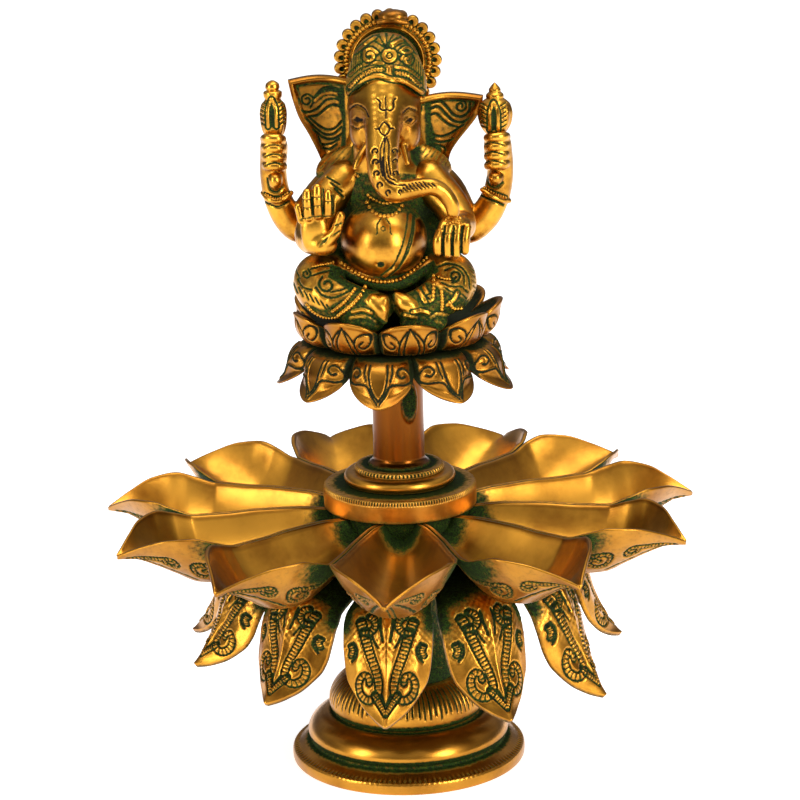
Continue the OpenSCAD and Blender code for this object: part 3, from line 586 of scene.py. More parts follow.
def make_column(material):
    """A plain turned shaft with a soft foot, a flange under the lotus and a rough braze run."""
    (_, _, low), (_, _, high) = extent("column")
    r = COLUMN_R
    side = [[12.2, low], [12.2, low + 0.5], [11.2, low + 1.2], [r + 0.1, low + 2.4], [r, low + 4],
            [r, high - 4], [r + 0.2, high - 2.4], [11.6, high - 0.9], [12.2, high - 0.5], [12.2, high]]
    outer = stepped(chaikin(side), 0.45)
    outline = np.vstack([[[0.5, low], [8, low]], outer, [[8, high], [0.5, high]]])

    def relief(r, z, angle):
        around = (angle - BRAZE_ANGLE + math.pi) % (2 * math.pi) - math.pi
        oval = np.hypot(around * COLUMN_R / BRAZE_HALF[0], (z - BRAZE_Z) / BRAZE_HALF[1])
        rim = groove_near(oval, 0.93, 0.22)
        lumps = np.sin(around * 21 + z * 1.3) * np.sin(z * 1.9 + 1) * smooth((0.85 - oval) / 0.3)
        patina = smooth((1.12 - oval) / 0.12) * (0.85 - 0.45 * rim)
        patina = patina + 0.7 * smooth((low + 1.6 - z) / 1.2) + 0.5 * smooth((z - high + 6) / 5)
        return 0.45 * rim + 0.28 * lumps - 0.25 * smooth((0.8 - oval) / 0.3), np.clip(patina, 0, 1)

    turned("column", outline, 240, relief, material, "turned_brass", body="figure_section", tone=0.95)


# Leaves and oil petals: eleven of each, seated on the flats of their hubs and bent by hand.
COUNT = 11
PITCH = 2 * math.pi / COUNT
RING_TURN = math.radians(-0.3)
LEAF_TURNS = [-4.8, -6, -4, -1, 0, 0, -1, -3, -6, -1, -3.5]
LEAF_FALLS = [1, 1.05, 1.16, 1, 1, 1, 1, 1, 0.95, 0.82, 0.9]
PETAL_TURNS = [-3, 0.5, 0.5, 0, -1.5, -6, -1.5, 0, 0.5, 0, -2]
SEAM = 0.3


def seated(across, out, height, turns, i, share):
    """Points of a leaf or petal on flat i of its hub: it is drawn along one radius, and each row
    turns about the lamp's axis by its share of the hand-set bend."""
    angle = RING_TURN - math.pi / 2 + i * PITCH + math.radians(turns[i]) * share
    return np.stack([out * np.cos(angle) - across * np.sin(angle),
                     out * np.sin(angle) + across * np.cos(angle), height + 0 * across], -1)


def room(turns, i, side, share, out):
    """Half-width that is free on one side, up to the plane midway to the neighbour."""
    near = math.radians(turns[(i + side) % COUNT] - turns[i])
    return out * np.tan((PITCH + side * share * near) / 2)


def chased(q, cuts, bands):
    """Height and patina of chased work: cuts are (line, width, depth) grooves, and bands are
    (line, width, end width, pitch) raised strips with a groove at each side and rungs across."""
    height, dark = np.zeros(len(q)), np.zeros(len(q))
    for line, first, last, pitch in bands:
        distance, along = stroke(q, line)
        width = first + (last - first) * smooth(along / along.max())
        raised = smooth((width / 2 - distance) / 0.5 + 0.5)
        rungs = ladder(distance, along, width, pitch)
        sides = cut(np.abs(distance - width / 2 - 0.3), 0.72)
        height = np.where(raised > 0.05, np.maximum(height, 0.32 * raised), height)
        height = np.minimum(height - 0.45 * rungs, np.where(sides > 0.02, -0.7 * sides, 9))
        dark = np.maximum(dark, np.maximum(sides, 0.85 * rungs))
    for line, width, depth in cuts:
        groove = cut(stroke(q, line)[0], width)
        height = np.minimum(height, np.where(groove > 0.02, -depth * groove, 9))
        dark = np.maximum(dark, groove)
    return height, dark


def capped(rings):
    """Points and faces of a closed skin whose two ends are one flat face each."""
    rows, cols, _ = rings.shape
    j = np.arange(cols)
    caps = [j[None, ::-1], (rows - 1) * cols + j[None, :]]
    return rings.reshape(-1, 3), [grid_quads(rows, cols, True)] + caps


LEAF_FLAT = 26.0
LEAF_REACH = 89.0
LEAF_T = 3.0
LEAF_ARCH = 0.3
LEAF_BEND_END = 0.6
LEAF_BEVEL = 5.4
LEAVES_IN_FRONT = (0, 1, 2, 3, 8, 9, 10)
FINE_RUN = 48
LEAF_PATH = [[26, 88.5], [38.1, 89.8], [51.2, 88.9], [62.9, 85.5], [70.1, 79.2], [74, 71.5],
             [76.4, 63.6], [79.9, 55.8], [84.3, 49.8], [89, 46]]
LEAF_HALVES = [[0, 0.6], [3.8, 4.2], [8.5, 8.8], [13, 12], [18, 15], [24, 16.2], [31, 16.7],
               [39, 16.75], [48.5, 15.7], [61, 13.4], [74, 10], [86, 6.7]]
LEAF_CUTS = [
    (spline([[5.6, 34.2], [4.4, 31.5], [3.3, 29.6]], 5), 0.9, 0.6),
    (spline([[2.4, 41], [2.2, 36.5], [1.4, 32]], 5), 1.1, 0.7),
    (spline([[12.6, 31.5], [11.2, 29.3], [11.4, 26.3], [13.2, 24]], 6), 1.0, 0.7),
    (spline([[1.6, 12], [0.9, 9.8], [0.1, 8.2]], 4), 0.9, 0.6)]
LEAF_BANDS = [
    (spline([[9.8, 40], [7.9, 33], [6.2, 27], [4.0, 21], [2.9, 16], [3.1, 12.6], [5.1, 10.6],
             [7.6, 10.8], [9.9, 13.2], [10.4, 16.8], [8.9, 19.2], [6.9, 18.8], [6.4, 16.6]], 7),
     3.0, 1.7, 1.5),
    (spline([[9.1, 35.5], [6.7, 35.2], [4.6, 37], [4.6, 40], [6.5, 41.8]], 6), 2.0, 2.0, 1.2),
    (np.array([[4.3, 12.2], [0, 4.6]]), 2.0, 1.4, 1.1),
    (spline([[13.6, 30.2], [13.0, 28.2], [13.6, 26.2]], 4), 1.5, 1.5, 1.0)]


def make_leaves(material):
    """Drooping blades: across the leaf a shallow arch, along it the measured droop; the outer
    face carries a chased scroll on each side of a ridge, and a plain bevel round its edge."""
    path = spline(LEAF_PATH, 24)
    steps = np.r_[0, np.cumsum(np.linalg.norm(np.diff(path, axis=0), axis=1))]
    total = steps[-1]
    halves = np.array(LEAF_HALVES)
    for i in range(COUNT):
        fine, coarse, columns = (0.4, 1.1, 89) if i in LEAVES_IN_FRONT else (0.9, 1.8, 39)
        s = np.r_[np.arange(0, FINE_RUN, fine), np.arange(FINE_RUN, total, coarse), total][::-1]
        r = np.interp(total - s, steps, path[:, 0])[:, None]
        z = np.interp(total - s, steps, path[:, 1])[:, None]
        z = path[0, 1] + (z - path[0, 1]) * LEAF_FALLS[i]
        way = np.gradient(np.hstack([r, z]), axis=0)
        way /= np.linalg.norm(way, axis=1, keepdims=True)
        share = np.minimum((r - LEAF_FLAT) / (LEAF_REACH - LEAF_FLAT) / LEAF_BEND_END, 1)
        free = eased(s, halves[:, 0], halves[:, 1])[:, None]
        half = {side: np.minimum(free, room(LEAF_TURNS, i, side, share, r) - SEAM) for side in (-1, 1)}
        v, under_v = (np.linspace(-1, 1, n)[None, :] for n in (columns, 17))

        def blade(v, depth):
            wide = np.where(v < 0, half[-1], half[1])
            sink = LEAF_ARCH * wide * v * v + depth
            return seated(wide * v, r + way[:, 1:] * sink, z - way[:, :1] * sink, LEAF_TURNS, i, share)

        wide = np.where(v < 0, half[-1], half[1])
        t, s_all = np.abs(wide * v), s[:, None] + 0 * v
        edge = np.minimum(wide - t, s_all * 0.8)
        q = np.stack([t.ravel(), s_all.ravel()], -1)
        height, dark = chased(q, LEAF_CUTS, LEAF_BANDS)
        height, dark = height.reshape(t.shape), dark.reshape(t.shape)
        ridge_w = eased(np.clip(s_all, 0, 60), [0, 20, 32, 48, 60], [1.2, 1.8, 3.5, 8, 8])
        ridge = np.clip(1 - t / ridge_w, 0, 1) * smooth((s_all - 6) / 6)
        bevel = smooth((LEAF_BEVEL - edge) / LEAF_BEVEL)
        crumbs = 0.12 * np.sin(s_all * 2.1 + i) * np.sin(t * 2.6 + 2 * i) * smooth((s_all - 20) / 12)
        height = height * (1 - bevel ** 3) + 0.9 * ridge - 1.15 * bevel + crumbs
        upper = smooth((s_all - 43) / 9)
        near_side = smooth((s_all - 30) / 12) * smooth((t - wide + 5) / 4)
        patina = np.maximum(dark, np.maximum(0.95 * upper, 0.75 * near_side))
        patina = patina + 0.3 * smooth((s_all - 18) / 22) * (1 - ridge)
        under = blade(under_v, LEAF_T)
        rings = np.concatenate([under, blade(v, -height)[:, ::-1]], 1)
        green = np.concatenate([0.55 + 0 * under[..., 0], np.clip(patina, 0, 1)[:, ::-1]], 1)
        points, faces = capped(rings)
        name = "leaf_%02d" % (i + 1)
        finish_single(name, points, faces, "stand", material, "engraved_brass", patina=green.ravel())


PETAL_FLAT = 27.0
PETAL_REACH = 117.5
PETAL_W = 46.0
PETAL_DEPTH = 20.0
PETAL_WALL = 1.8
PETALS_IN_FRONT = (0, 1, 2, 9, 10)
# Share of the way out, then width, rim and bed as shares of the petal's width and depth.
PETAL_ROWS = np.array([
    [0, 1, -0.02, -0.42], [0.14, 1, 0.05, -0.55], [0.30, 1, 0.06, -0.75], [0.44, 1, 0.03, -0.90],
    [0.56, 1, 0.03, -0.97], [0.66, 1, 0.15, -0.90], [0.75, 0.93, 0.26, -0.68],
    [0.84, 0.71, 0.22, -0.46], [0.92, 0.38, 0.06, -0.30], [1, 0.045, -0.16, -0.25]])
PETAL_CUTS = [
    (np.array([[5.0, 1.0], [46, 1.0]]), 0.9, 0.45),
    (spline([[5, 1.0], [10, 3.0], [16, 5.2], [22, 7.0], [29, 8.4]], 6), 1.15, 0.6),
    (spline([[37, 9.6], [42, 12.4], [47, 12.2], [43, 9.6], [37, 9.6]], 6), 1.0, 0.55)]
PETAL_BANDS = [
    (spline([[4.2, 1.6], [9, 4.8], [13.5, 9.2], [17.4, 13.2], [19.8, 12.6], [19.2, 10.2],
             [16.4, 9.2], [15.4, 10.6]], 6), 1.15, 1.15, 1.5),
    (spline([[42, 22.4], [35, 21.2], [28, 19.4], [25.2, 16], [27.4, 12.8], [31.8, 13.2],
             [34, 16.2], [31.8, 18], [29.6, 16.4]], 6), 1.35, 1.2, 1.5)]


def make_petals(material):
    """Open bowls with a pointed lip: each cross-section is a power curve from the keel up to the
    rim, on the outside and again one wall further in, and a rounded lip joins the two."""
    for i in range(COUNT):
        outer_n, inner_n, gap = (107, 45, 0.45) if i in PETALS_IN_FRONT else (55, 37, 0.95)
        share = np.linspace(0, 1, int((PETAL_REACH - PETAL_FLAT) / gap))[:, None]
        out = PETAL_FLAT + (PETAL_REACH - PETAL_FLAT) * share
        wide, rim, bed = (eased(share, PETAL_ROWS[:, 0], PETAL_ROWS[:, k]) for k in (1, 2, 3))
        half = {side: np.minimum(wide * PETAL_W / 2, room(PETAL_TURNS, i, side, share, out) - SEAM / 2)
                for side in (-1, 1)}
        rim_z, bed_z = (extent("lamp_hub")[1][2] + level * PETAL_DEPTH for level in (rim, bed))
        power = 2.2 - 0.8 * smooth((share - 0.72) / 0.26)

        def section(w, inset):
            """One curve of a cross-section: w goes from edge to edge, inset is the wall or 0."""
            v = w * (1.28 - 0.28 * w * w)
            across = np.where(v < 0, half[-1], half[1])
            wall = np.minimum(inset, across / 2)
            low = np.minimum(bed_z + inset, rim_z - 0.55)
            lip = np.minimum(0.4, (rim_z - low) * 0.3)
            return (across - wall) * v, low + (rim_z - lip - low) * np.abs(v) ** power

        w_out = np.linspace(-1, 1, outer_n)[None, :]
        w_in = np.linspace(1, -1, inner_n)[None, :]
        y_out, z_out = section(w_out, 0.0)
        y_in, z_in = section(w_in, PETAL_WALL)
        run = np.hypot(np.diff(y_out, axis=1), np.diff(z_out, axis=1))
        arc = np.hstack([np.zeros((len(share), 1)), np.cumsum(run, 1)])
        arc = np.abs(arc - arc[:, outer_n // 2][:, None])
        a = PETAL_REACH - out + 0 * arc
        height, dark = chased(np.stack([a.ravel(), arc.ravel()], -1), PETAL_CUTS, PETAL_BANDS)
        height, dark = height.reshape(arc.shape), dark.reshape(arc.shape)
        level = np.clip((z_out - bed_z) / (rim_z - bed_z), 0, 1)
        calm = 1 - smooth((level - 0.86) / 0.1)
        height, dark = height * calm, dark * calm
        tilt = np.gradient(z_out, axis=1) / np.maximum(np.gradient(y_out, axis=1), 1e-6)
        tilt = 1 / np.sqrt(1 + tilt ** 2)
        side = np.sign(w_out) * np.sqrt(1 - tilt ** 2)
        y_out, z_out = y_out + side * height * 0.8, z_out - tilt * height * 0.8
        lips = [np.hstack([a * 0.72 + b * 0.28, a * 0.28 + b * 0.72])
                for a, b in ((y_out[:, -1:], y_in[:, :1]), (y_in[:, -1:], y_out[:, :1]))]
        across = np.hstack([y_out, lips[0], y_in, lips[1]])
        level_z = np.hstack([z_out, rim_z, rim_z, z_in, rim_z, rim_z])
        rings = seated(across, out, level_z, PETAL_TURNS, i, share)
        shade = smooth((0.82 - share) / 0.2) * smooth((level - 0.34) / 0.42)
        outer_green = np.maximum(dark, np.maximum(0.95 * shade, 0.9 * smooth((0.42 - share) / 0.2)))
        inner_level = np.clip((z_in - bed_z) / (rim_z - bed_z), 0, 1)
        inner_green = 0.95 * smooth((0.15 - share + 0.05 * (1 - inner_level)) / 0.14)
        blank = np.zeros((len(share), 2))
        green = np.hstack([np.clip(outer_green, 0.16, 1), blank, inner_green + 0 * y_in, blank])
        rim_tone = np.hstack([0.42 + 0.1 * smooth((level - 0.94) / 0.05), blank + 0.35,
                              0.15 + 0.4 * smooth((inner_level - 0.9) / 0.05), blank + 0.35])
        points, faces = capped(rings)
        name = "oil_petal_%02d" % (i + 1)
        finish_single(name, points, faces, "stand", material, "polished_brass", patina=green.ravel(),
                      tone=rim_tone.ravel())


# Lotus seat: two tiers, each one casting whose nine petals are swellings of a single skin.
LOTUS_COUNT = 9
LOTUS_LOW_TURN = math.radians(-100)
LOTUS_UP_TURN = math.radians(-81)
LOTUS_COLUMNS = 78
LOTUS_ROWS = 58
LOTUS_LOW_CUTS = [
    (spline([[3.2, 1.5], [3.5, 6], [2.4, 11.5], [0, 15.6]], 6), 0.85, 0.6),
    (spline([[0.5, 17], [2.4, 13.6], [4.4, 9.6], [7, 8.6], [9.6, 7.8], [11.4, 5.6], [11.4, 3.2],
             [9.6, 1.8], [7.6, 2.6], [7.0, 4.6], [8.4, 5.6], [9.5, 4.6]], 6), 0.85, 0.6),
    (spline([[4.9, 1.2], [5.2, 4.4], [4.6, 7.6]], 4), 0.7, 0.5)]
LOTUS_UP_CUTS = [
    (spline([[2.6, 0], [3.0, 4.6], [2.2, 9.4], [0, 14.2]], 6), 0.8, 0.55),
    (spline([[1.2, 13], [3.4, 10.4], [4.7, 7.0], [4.7, 0.4]], 6), 0.75, 0.5),
    (spline([[4.6, 7.4], [5.8, 10.2], [8.2, 10.8], [10.2, 8.8], [9.8, 5.6], [7.6, 4.6], [6.4, 6.4],
             [7.8, 7.8]], 6), 0.75, 0.5)]


def lotus_grid(turn):
    """Angle, petal number and place within the petal, -1 to 1, of every column of a tier."""
    step = np.arange(LOTUS_COUNT * LOTUS_COLUMNS) / LOTUS_COLUMNS
    petal = np.round(step).astype(int)
    place = 2 * (step - petal)
    return turn + step * 2 * math.pi / LOTUS_COUNT, petal % LOTUS_COUNT, place


def lotus_tier(name, seed, material, turn, tip, valley, start_form, end_form, cuts, cuts_from, shade,
               lip, close, falls):
    """A tier of petals: every row of the tip curve is pulled in to the valley curve between
    petals, by a weight that is broad near the root and comes to a point at the rim. A form is the
    weight's two powers, and shade is how green the root is, where it ends and how softly."""
    angle, petal, place = lotus_grid(turn)
    nudge = np.random.default_rng(seed).uniform(-1, 1, (LOTUS_COUNT, 3))
    u = np.linspace(0, 1, LOTUS_ROWS)[:, None]
    curves = []
    for points in (tip, valley):
        curve = spline(points, 30)
        along = np.linspace(0, 1, len(curve))
        curves += [np.interp(u, along, curve[:, k]) for k in (0, 1)]
    tip_r, tip_z, low_r, low_z = curves
    m = start_form[0] + (end_form[0] - start_form[0]) * smooth((u - 0.3) / 0.7)
    n = start_form[1] + (end_form[1] - start_form[1]) * u
    weight = np.clip(1 - np.abs(place) ** m, 0, 1) ** n
    drift = u ** 3 * weight
    r = low_r + (tip_r - low_r) * weight + nudge[petal, 0] * 0.7 * drift
    z = low_z + (tip_z - low_z) * weight + nudge[petal, 1] * 1.1 * drift
    theta = angle + np.radians(nudge[petal, 2] * 2.0) * drift
    run = np.hypot(np.diff(r, axis=0), np.diff(z, axis=0))
    path = np.vstack([np.zeros((1, r.shape[1])), np.cumsum(run, 0)])
    across = np.abs(place) * math.pi / LOTUS_COUNT * r
    height, dark = chased(np.stack([across.ravel(), (path - cuts_from).ravel()], -1), cuts, [])
    height, dark = height.reshape(r.shape), dark.reshape(r.shape)
    seam = smooth((np.abs(place) - 0.78) / 0.14)
    height = (height + 0.25 * smooth((u - 0.9) / 0.07)) * (1 - seam)
    dr, dz = np.gradient(r, axis=0), np.gradient(z, axis=0)
    norm = np.hypot(dr, dz) + 1e-9
    r, z = r + height * dz / norm, z - height * dr / norm
    root = shade[0] * smooth((shade[1] - u) / shade[2])
    patina = np.clip(np.maximum(np.maximum(dark, 0.95 * seam), root), 0, 1)
    rows = [(r, z, patina, theta)]
    full = np.ones((1, r.shape[1]))
    for inset, drop, green in lip:
        rows.append(((r[-1] - inset)[None], (z[-1] + drop)[None], green * full, theta[-1:]))
    for radius, level, green in close:
        rows.append((radius * full, level * full, green * full, angle[None]))
    r, z, patina, theta = (np.vstack(part) for part in zip(*rows))
    rings = np.stack([r * np.cos(theta), r * np.sin(theta), z], -1)
    if falls:
        rings, patina = rings[::-1], patina[::-1]
    points, faces = tube_mesh(rings)
    finish_single(name, points, faces, "figure_section", material, "engraved_brass",
                  patina=end_values(patina), tone=end_values(0.42 + 0 * patina),
                  soot=end_values(0.6 + 0 * patina))


def make_lotus(material):
    """The drooping lower tier and the rising upper tier, whose floor the figure sits on."""
    (_, _, tip), (_, _, joint) = extent("lotus_lower_tier")
    lotus_tier(
        "lotus_lower_tier", 21, material, LOTUS_LOW_TURN,
        [[27, joint], [30, joint], [35, joint - 0.3], [39.2, joint - 2.6], [41.6, joint - 6.2],
         [42.6, joint - 10.2], [43.8, joint - 13.6], [46.9, tip]],
        [[27, joint], [29, joint - 0.2], [31, joint - 0.8], [32.8, joint - 2.4], [34.2, joint - 4.6],
         [35.4, joint - 7]],
        (3.4, 0.9), (1.5, 0.72), LOTUS_LOW_CUTS, 10.2, (0.9, 0.42, 0.14),
        lip=[(0.5, -0.35, 0.2), (1.3, -0.1, 0.3), (2.0, 0.7, 0.6)],
        close=[(26, joint - 6, 0.9), (25.3, joint - 7.5, 0.9), (21.96, joint - 10, 0.9),
               (10, joint - 10, 0.9)], falls=True)
    (_, _, base), (_, _, top) = extent("lotus_upper_tier")
    seat = base + 7
    lotus_tier(
        "lotus_upper_tier", 22, material, LOTUS_UP_TURN,
        [[26.1, base], [31, base + 0.4], [35.6, base + 1.8], [38.6, base + 4.6], [40.0, base + 8],
         [40.4, base + 10.8], [40.9, top]],
        [[26.1, base], [28.4, base + 0.6], [30.6, base + 1.8], [32.0, base + 3.8], [32.8, base + 5.8],
         [33.3, base + 8]],
        (3.2, 0.85), (2.0, 0.62), LOTUS_UP_CUTS, 8.0, (0.95, 0.4, 0.16),
        lip=[(0.5, 0.35, 0.1), (1.3, 0.3, 0.2), (2.1, -0.6, 0.6), (3.0, -2.2, 0.8)],
        close=[(30.6, seat, 0.9), (24, seat, 0.9), (12, seat, 0.9)], falls=False)


# Figure: each casting is a distance field on a grid of small cubes, and its skin is drawn where
# the field is zero. Its chased lines are laid on in charts, which are (x, z) drawings.
FAR = 9.0
CHART_SLOPE = 0.163
BROWN_EDGE = 3.0
FIGURE_FLOOR = 178.0
FACING_LEAST = 0.05


class Field:
    """A box of cubes, in mm, that holds a signed distance: below 0 inside the metal."""

    def __init__(self, low, high, cell):
        self.cell = cell
        self.low = np.asarray(low, float)
        self.axes = [np.arange(l, h + cell, cell, dtype=np.float32) for l, h in zip(low, high)]
        self.value = np.full([len(a) for a in self.axes], FAR, np.float32)

    def window(self, low, high):
        """The part of the grid that a form can reach, and its three coordinates."""
        where = tuple(slice(max(np.searchsorted(a, l) - 1, 0), np.searchsorted(a, h) + 1)
                      for a, l, h in zip(self.axes, low, high))
        return where, np.meshgrid(*(a[w] for a, w in zip(self.axes, where)), indexing="ij", sparse=True)

    def join(self, where, new, blend):
        """Adds a form by the polynomial smooth minimum: blend is the width of the fillet."""
        old = self.value[where]
        h = np.clip(0.5 + 0.5 * (old - new) / blend, 0, 1)
        self.value[where] = old + (new - old) * h - blend * h * (1 - h)

    def blob(self, centre, radii, blend):
        """An egg: its centre and its three radii."""
        c, r = np.asarray(centre, float), np.asarray(radii, float)
        where, axes = self.window(c - r - blend - 2, c + r + blend + 2)
        near, fall = (np.sqrt(sum(((axis - middle) / radius ** power) ** 2
                                  for axis, middle, radius in zip(axes, c, r))) for power in (1, 2))
        self.join(where, near * (near - 1) / np.maximum(fall, 1e-6), blend)

    def limb(self, rows, blend):
        """A round limb whose rows are x, y, z and radius, with a ball at each end."""
        curve = spline(rows, 4) if len(rows) > 2 else np.asarray(rows, float)
        reach = curve[:, 3].max() + blend + 2
        where, axes = self.window(curve[:, :3].min(0) - reach, curve[:, :3].max(0) + reach)
        best = np.full(self.value[where].shape, FAR * 3, np.float32)
        for a, b in zip(curve[:-1], curve[1:]):
            way = b[:3] - a[:3]
            offset = [axis - start for axis, start in zip(axes, a)]
            t = np.clip(sum(o * w for o, w in zip(offset, way)) / (way @ way), 0, 1)
            gap = np.sqrt(sum((o - t * w) ** 2 for o, w in zip(offset, way)))
            best = np.minimum(best, gap - (a[3] + (b[3] - a[3]) * t))
        self.join(where, best, blend)

    def above(self, level):
        """Cuts everything off below a level."""
        self.value = np.maximum(self.value, level - self.axes[2][None, None, :])

    def skin(self):
        """Surface net: one point in every cube that the zero level crosses, at the mean of the
        crossings on its edges, and a quad round every crossed edge of the grid."""
        field = np.pad(self.value, 1, constant_values=FAR)
        shape = np.array(field.shape)
        spots, owners = [], []
        for axis in range(3):
            u, v = (axis + 1) % 3, (axis + 2) % 3
            first, second = [slice(None)] * 3, [slice(None)] * 3
            first[axis], second[axis] = slice(0, -1), slice(1, None)
            a, b = field[tuple(first)], field[tuple(second)]
            at = np.argwhere((a < 0) != (b < 0))
            va, vb = a[tuple(at.T)], b[tuple(at.T)]
            spot = at.astype(float)
            spot[:, axis] += va / (va - vb)
            cubes = []
            for du, dv in ((0, 0), (1, 0), (1, 1), (0, 1)):
                cube = at.copy()
                cube[:, u] -= du
                cube[:, v] -= dv
                cubes.append(np.ravel_multi_index(cube.T, shape))
            cubes = np.stack(cubes, -1)
            cubes[va >= 0] = cubes[va >= 0][:, ::-1]
            spots.append(spot)
            owners.append(cubes)
        spots, owners = np.vstack(spots), np.vstack(owners)
        _, number = np.unique(owners, return_inverse=True)
        number = number.reshape(owners.shape)
        count = np.bincount(number.ravel())
        points = np.stack([np.bincount(number.ravel(), np.repeat(spots[:, k], 4)) / count
                           for k in range(3)], -1)
        return self.low + (points - 1) * self.cell, number


def sample(values, low, cell, points):
    """The values of a grid at points between its corners, mixed in equal measure."""
    at = (points - low) / cell
    base = np.clip(np.floor(at).astype(int), 0, np.array(values.shape) - 2)
    f = np.clip(at - base, 0, 1)
    total = 0
    for dx in (0, 1):
        for dy in (0, 1):
            for dz in (0, 1):
                share = (np.abs(1 - dx - f[:, 0]) * np.abs(1 - dy - f[:, 1]) * np.abs(1 - dz - f[:, 2]))
                total = total + share * values[base[:, 0] + dx, base[:, 1] + dy, base[:, 2] + dz]
    return total


def relaxed(points, quads):
    """Moves every point half way to the mean of its neighbours, twice over, which takes the grid's
    steps out."""
    ends = np.concatenate([quads, np.roll(quads, -1, 1)], 0).T.reshape(4, 2, -1)
    a, b = ends[:, 0].ravel(), ends[:, 1].ravel()
    count = np.bincount(a, minlength=len(points)) + np.bincount(b, minlength=len(points))
    for _ in range(2):
        total = np.stack([np.bincount(a, points[b, k], len(points))
                          + np.bincount(b, points[a, k], len(points)) for k in range(3)], -1)
        points = 0.5 * points + 0.5 * total / count[:, None]
    return points


def point_normals(points, quads):
    """Normals of a mesh of quads, weighted by area."""
    a, b, c, d = (points[quads[:, k]] for k in range(4))
    face = np.cross(c - a, d - b)
    normal = np.stack([np.bincount(quads.ravel(), np.repeat(face[:, k], 4), len(points))
                       for k in range(3)], -1)
    return normal / np.maximum(np.linalg.norm(normal, axis=1, keepdims=True), 1e-9)


def inside(q, outline):
    """True for the points within a closed outline, by counting the edges on one side."""
    found = np.zeros(len(q), bool)
    for (ax, az), (bx, bz) in zip(outline, np.roll(outline, -1, 0)):
        if az == bz:
            continue
        spans = (q[:, 1] > min(az, bz)) & (q[:, 1] <= max(az, bz))
        found ^= spans & (q[:, 0] < ax + (q[:, 1] - az) * (bx - ax) / (bz - az))
    return found


def area(q, outline, edge):
    """1 within a closed outline and 0 outside it, with an edge of that width."""
    gap, _ = stroke(q, np.vstack([outline, outline[:1]]))
    return smooth(0.5 + np.where(inside(q, outline), gap, -gap) / edge)


class Chart:
    """Chased lines in the plane y = depth: each mark is laid onto the metal in front of or behind
    that plane along a line that falls a little as it goes back. Soot is how black its crust is."""

    def __init__(self, depth, soot=0.0):
        self.depth = depth
        self.soot = soot
        self.marks = []
        self.shades = []

    def mark(self, kind, line, *style):
        self.marks.append((kind, line) + style)

    def brown(self, points, amount):
        """An area, given by its outline, whose bare metal is painted brown."""
        self.shades.append((np.asarray(points, float), amount))

    def line(self, points, width, height=-0.45, dark=1.0, steps=5):
        """A groove or, where its height is above 0, a raised strip with a dark line beside it."""
        curve = spline(points, steps) if len(points) > 2 else np.asarray(points, float)
        self.mark("line", curve, width, height, dark, 0.0)

    def beads(self, points, width, pitch, height):
        """A row of balls, dark between."""
        self.mark("beads", spline(points, 5), width, height, 0.9, pitch)

    def curl(self, x, z, radius, turns, start, hand, width, height=-0.45):
        """A spiral that closes on its centre."""
        t = np.linspace(0, 1, 9)
        angle = math.radians(start) + hand * t * turns * 2 * math.pi
        reach = radius * (1 - 0.72 * t)
        self.line(np.stack([x + reach * np.cos(angle), z + reach * np.sin(angle)], -1), width, height,
                  steps=4)

    def patch(self, points, dark, height, edge):
        """An area, given by its outline. One whose patina is below 0 was buffed clean."""
        self.mark("patch", np.asarray(points, float), edge, height, dark, 0.0)

    def place(self, points):
        """Where points of the metal lie on the drawing."""
        return np.stack([points[:, 0], points[:, 2] - (self.depth - points[:, 1]) * CHART_SLOPE], -1)

    def tone(self, points):
        """How brown the chart makes each point."""
        q = self.place(points)
        total = np.zeros(len(points))
        for outline, amount in self.shades:
            total = np.maximum(total, amount * area(q, outline, BROWN_EDGE))
        return total

    def lay(self, points, facing):
        """Height, patina and cleaning of all the marks at the points; facing is how much each looks
        out of the front."""
        q = self.place(points)
        height, dark, clean = (np.zeros(len(points)) for _ in range(3))
        for kind, line, width, rise, shade, pitch in self.marks:
            reach = width + 1.0
            near = np.flatnonzero((q > line.min(0) - reach).all(1) & (q < line.max(0) + reach).all(1)
                                  & (facing > FACING_LEAST))
            if not len(near):
                continue
            high, deep = height[near], dark[near]
            if kind == "patch":
                level = area(q[near], line, width)
                height[near] = high + rise * level
                if shade >= 0:
                    dark[near] = np.maximum(deep, shade * level)
                else:
                    clean[near] = np.maximum(clean[near], -shade * level)
                    dark[near] = deep * (1 + shade * level)
                continue
            gap, along = stroke(q[near], line)
            level = cut(gap, width)
            if kind == "beads":
                ball = 1 - (gap / (width / 2)) ** 2 - (2 * ((along / pitch) % 1 - 0.5)) ** 2
                height[near] = np.where(gap < width * 0.9, rise * np.sqrt(np.clip(ball, 0, 1)), high)
                dark[near] = np.where(ball > 0.15, 0, np.maximum(deep, shade * cut(gap, width + 1.2)))
            elif rise < 0:
                height[near] = np.minimum(high, rise * level)
                dark[near] = np.maximum(deep, shade * level)
            else:
                height[near] = np.maximum(high, rise * smooth(1.2 - gap / (width / 2)))
                beside = shade * cut(gap - width / 2 - 0.35, 0.9)
                dark[near] = np.maximum(deep * (1 - level), beside * (1 - level))
        return height * smooth(facing / 0.4), dark, clean


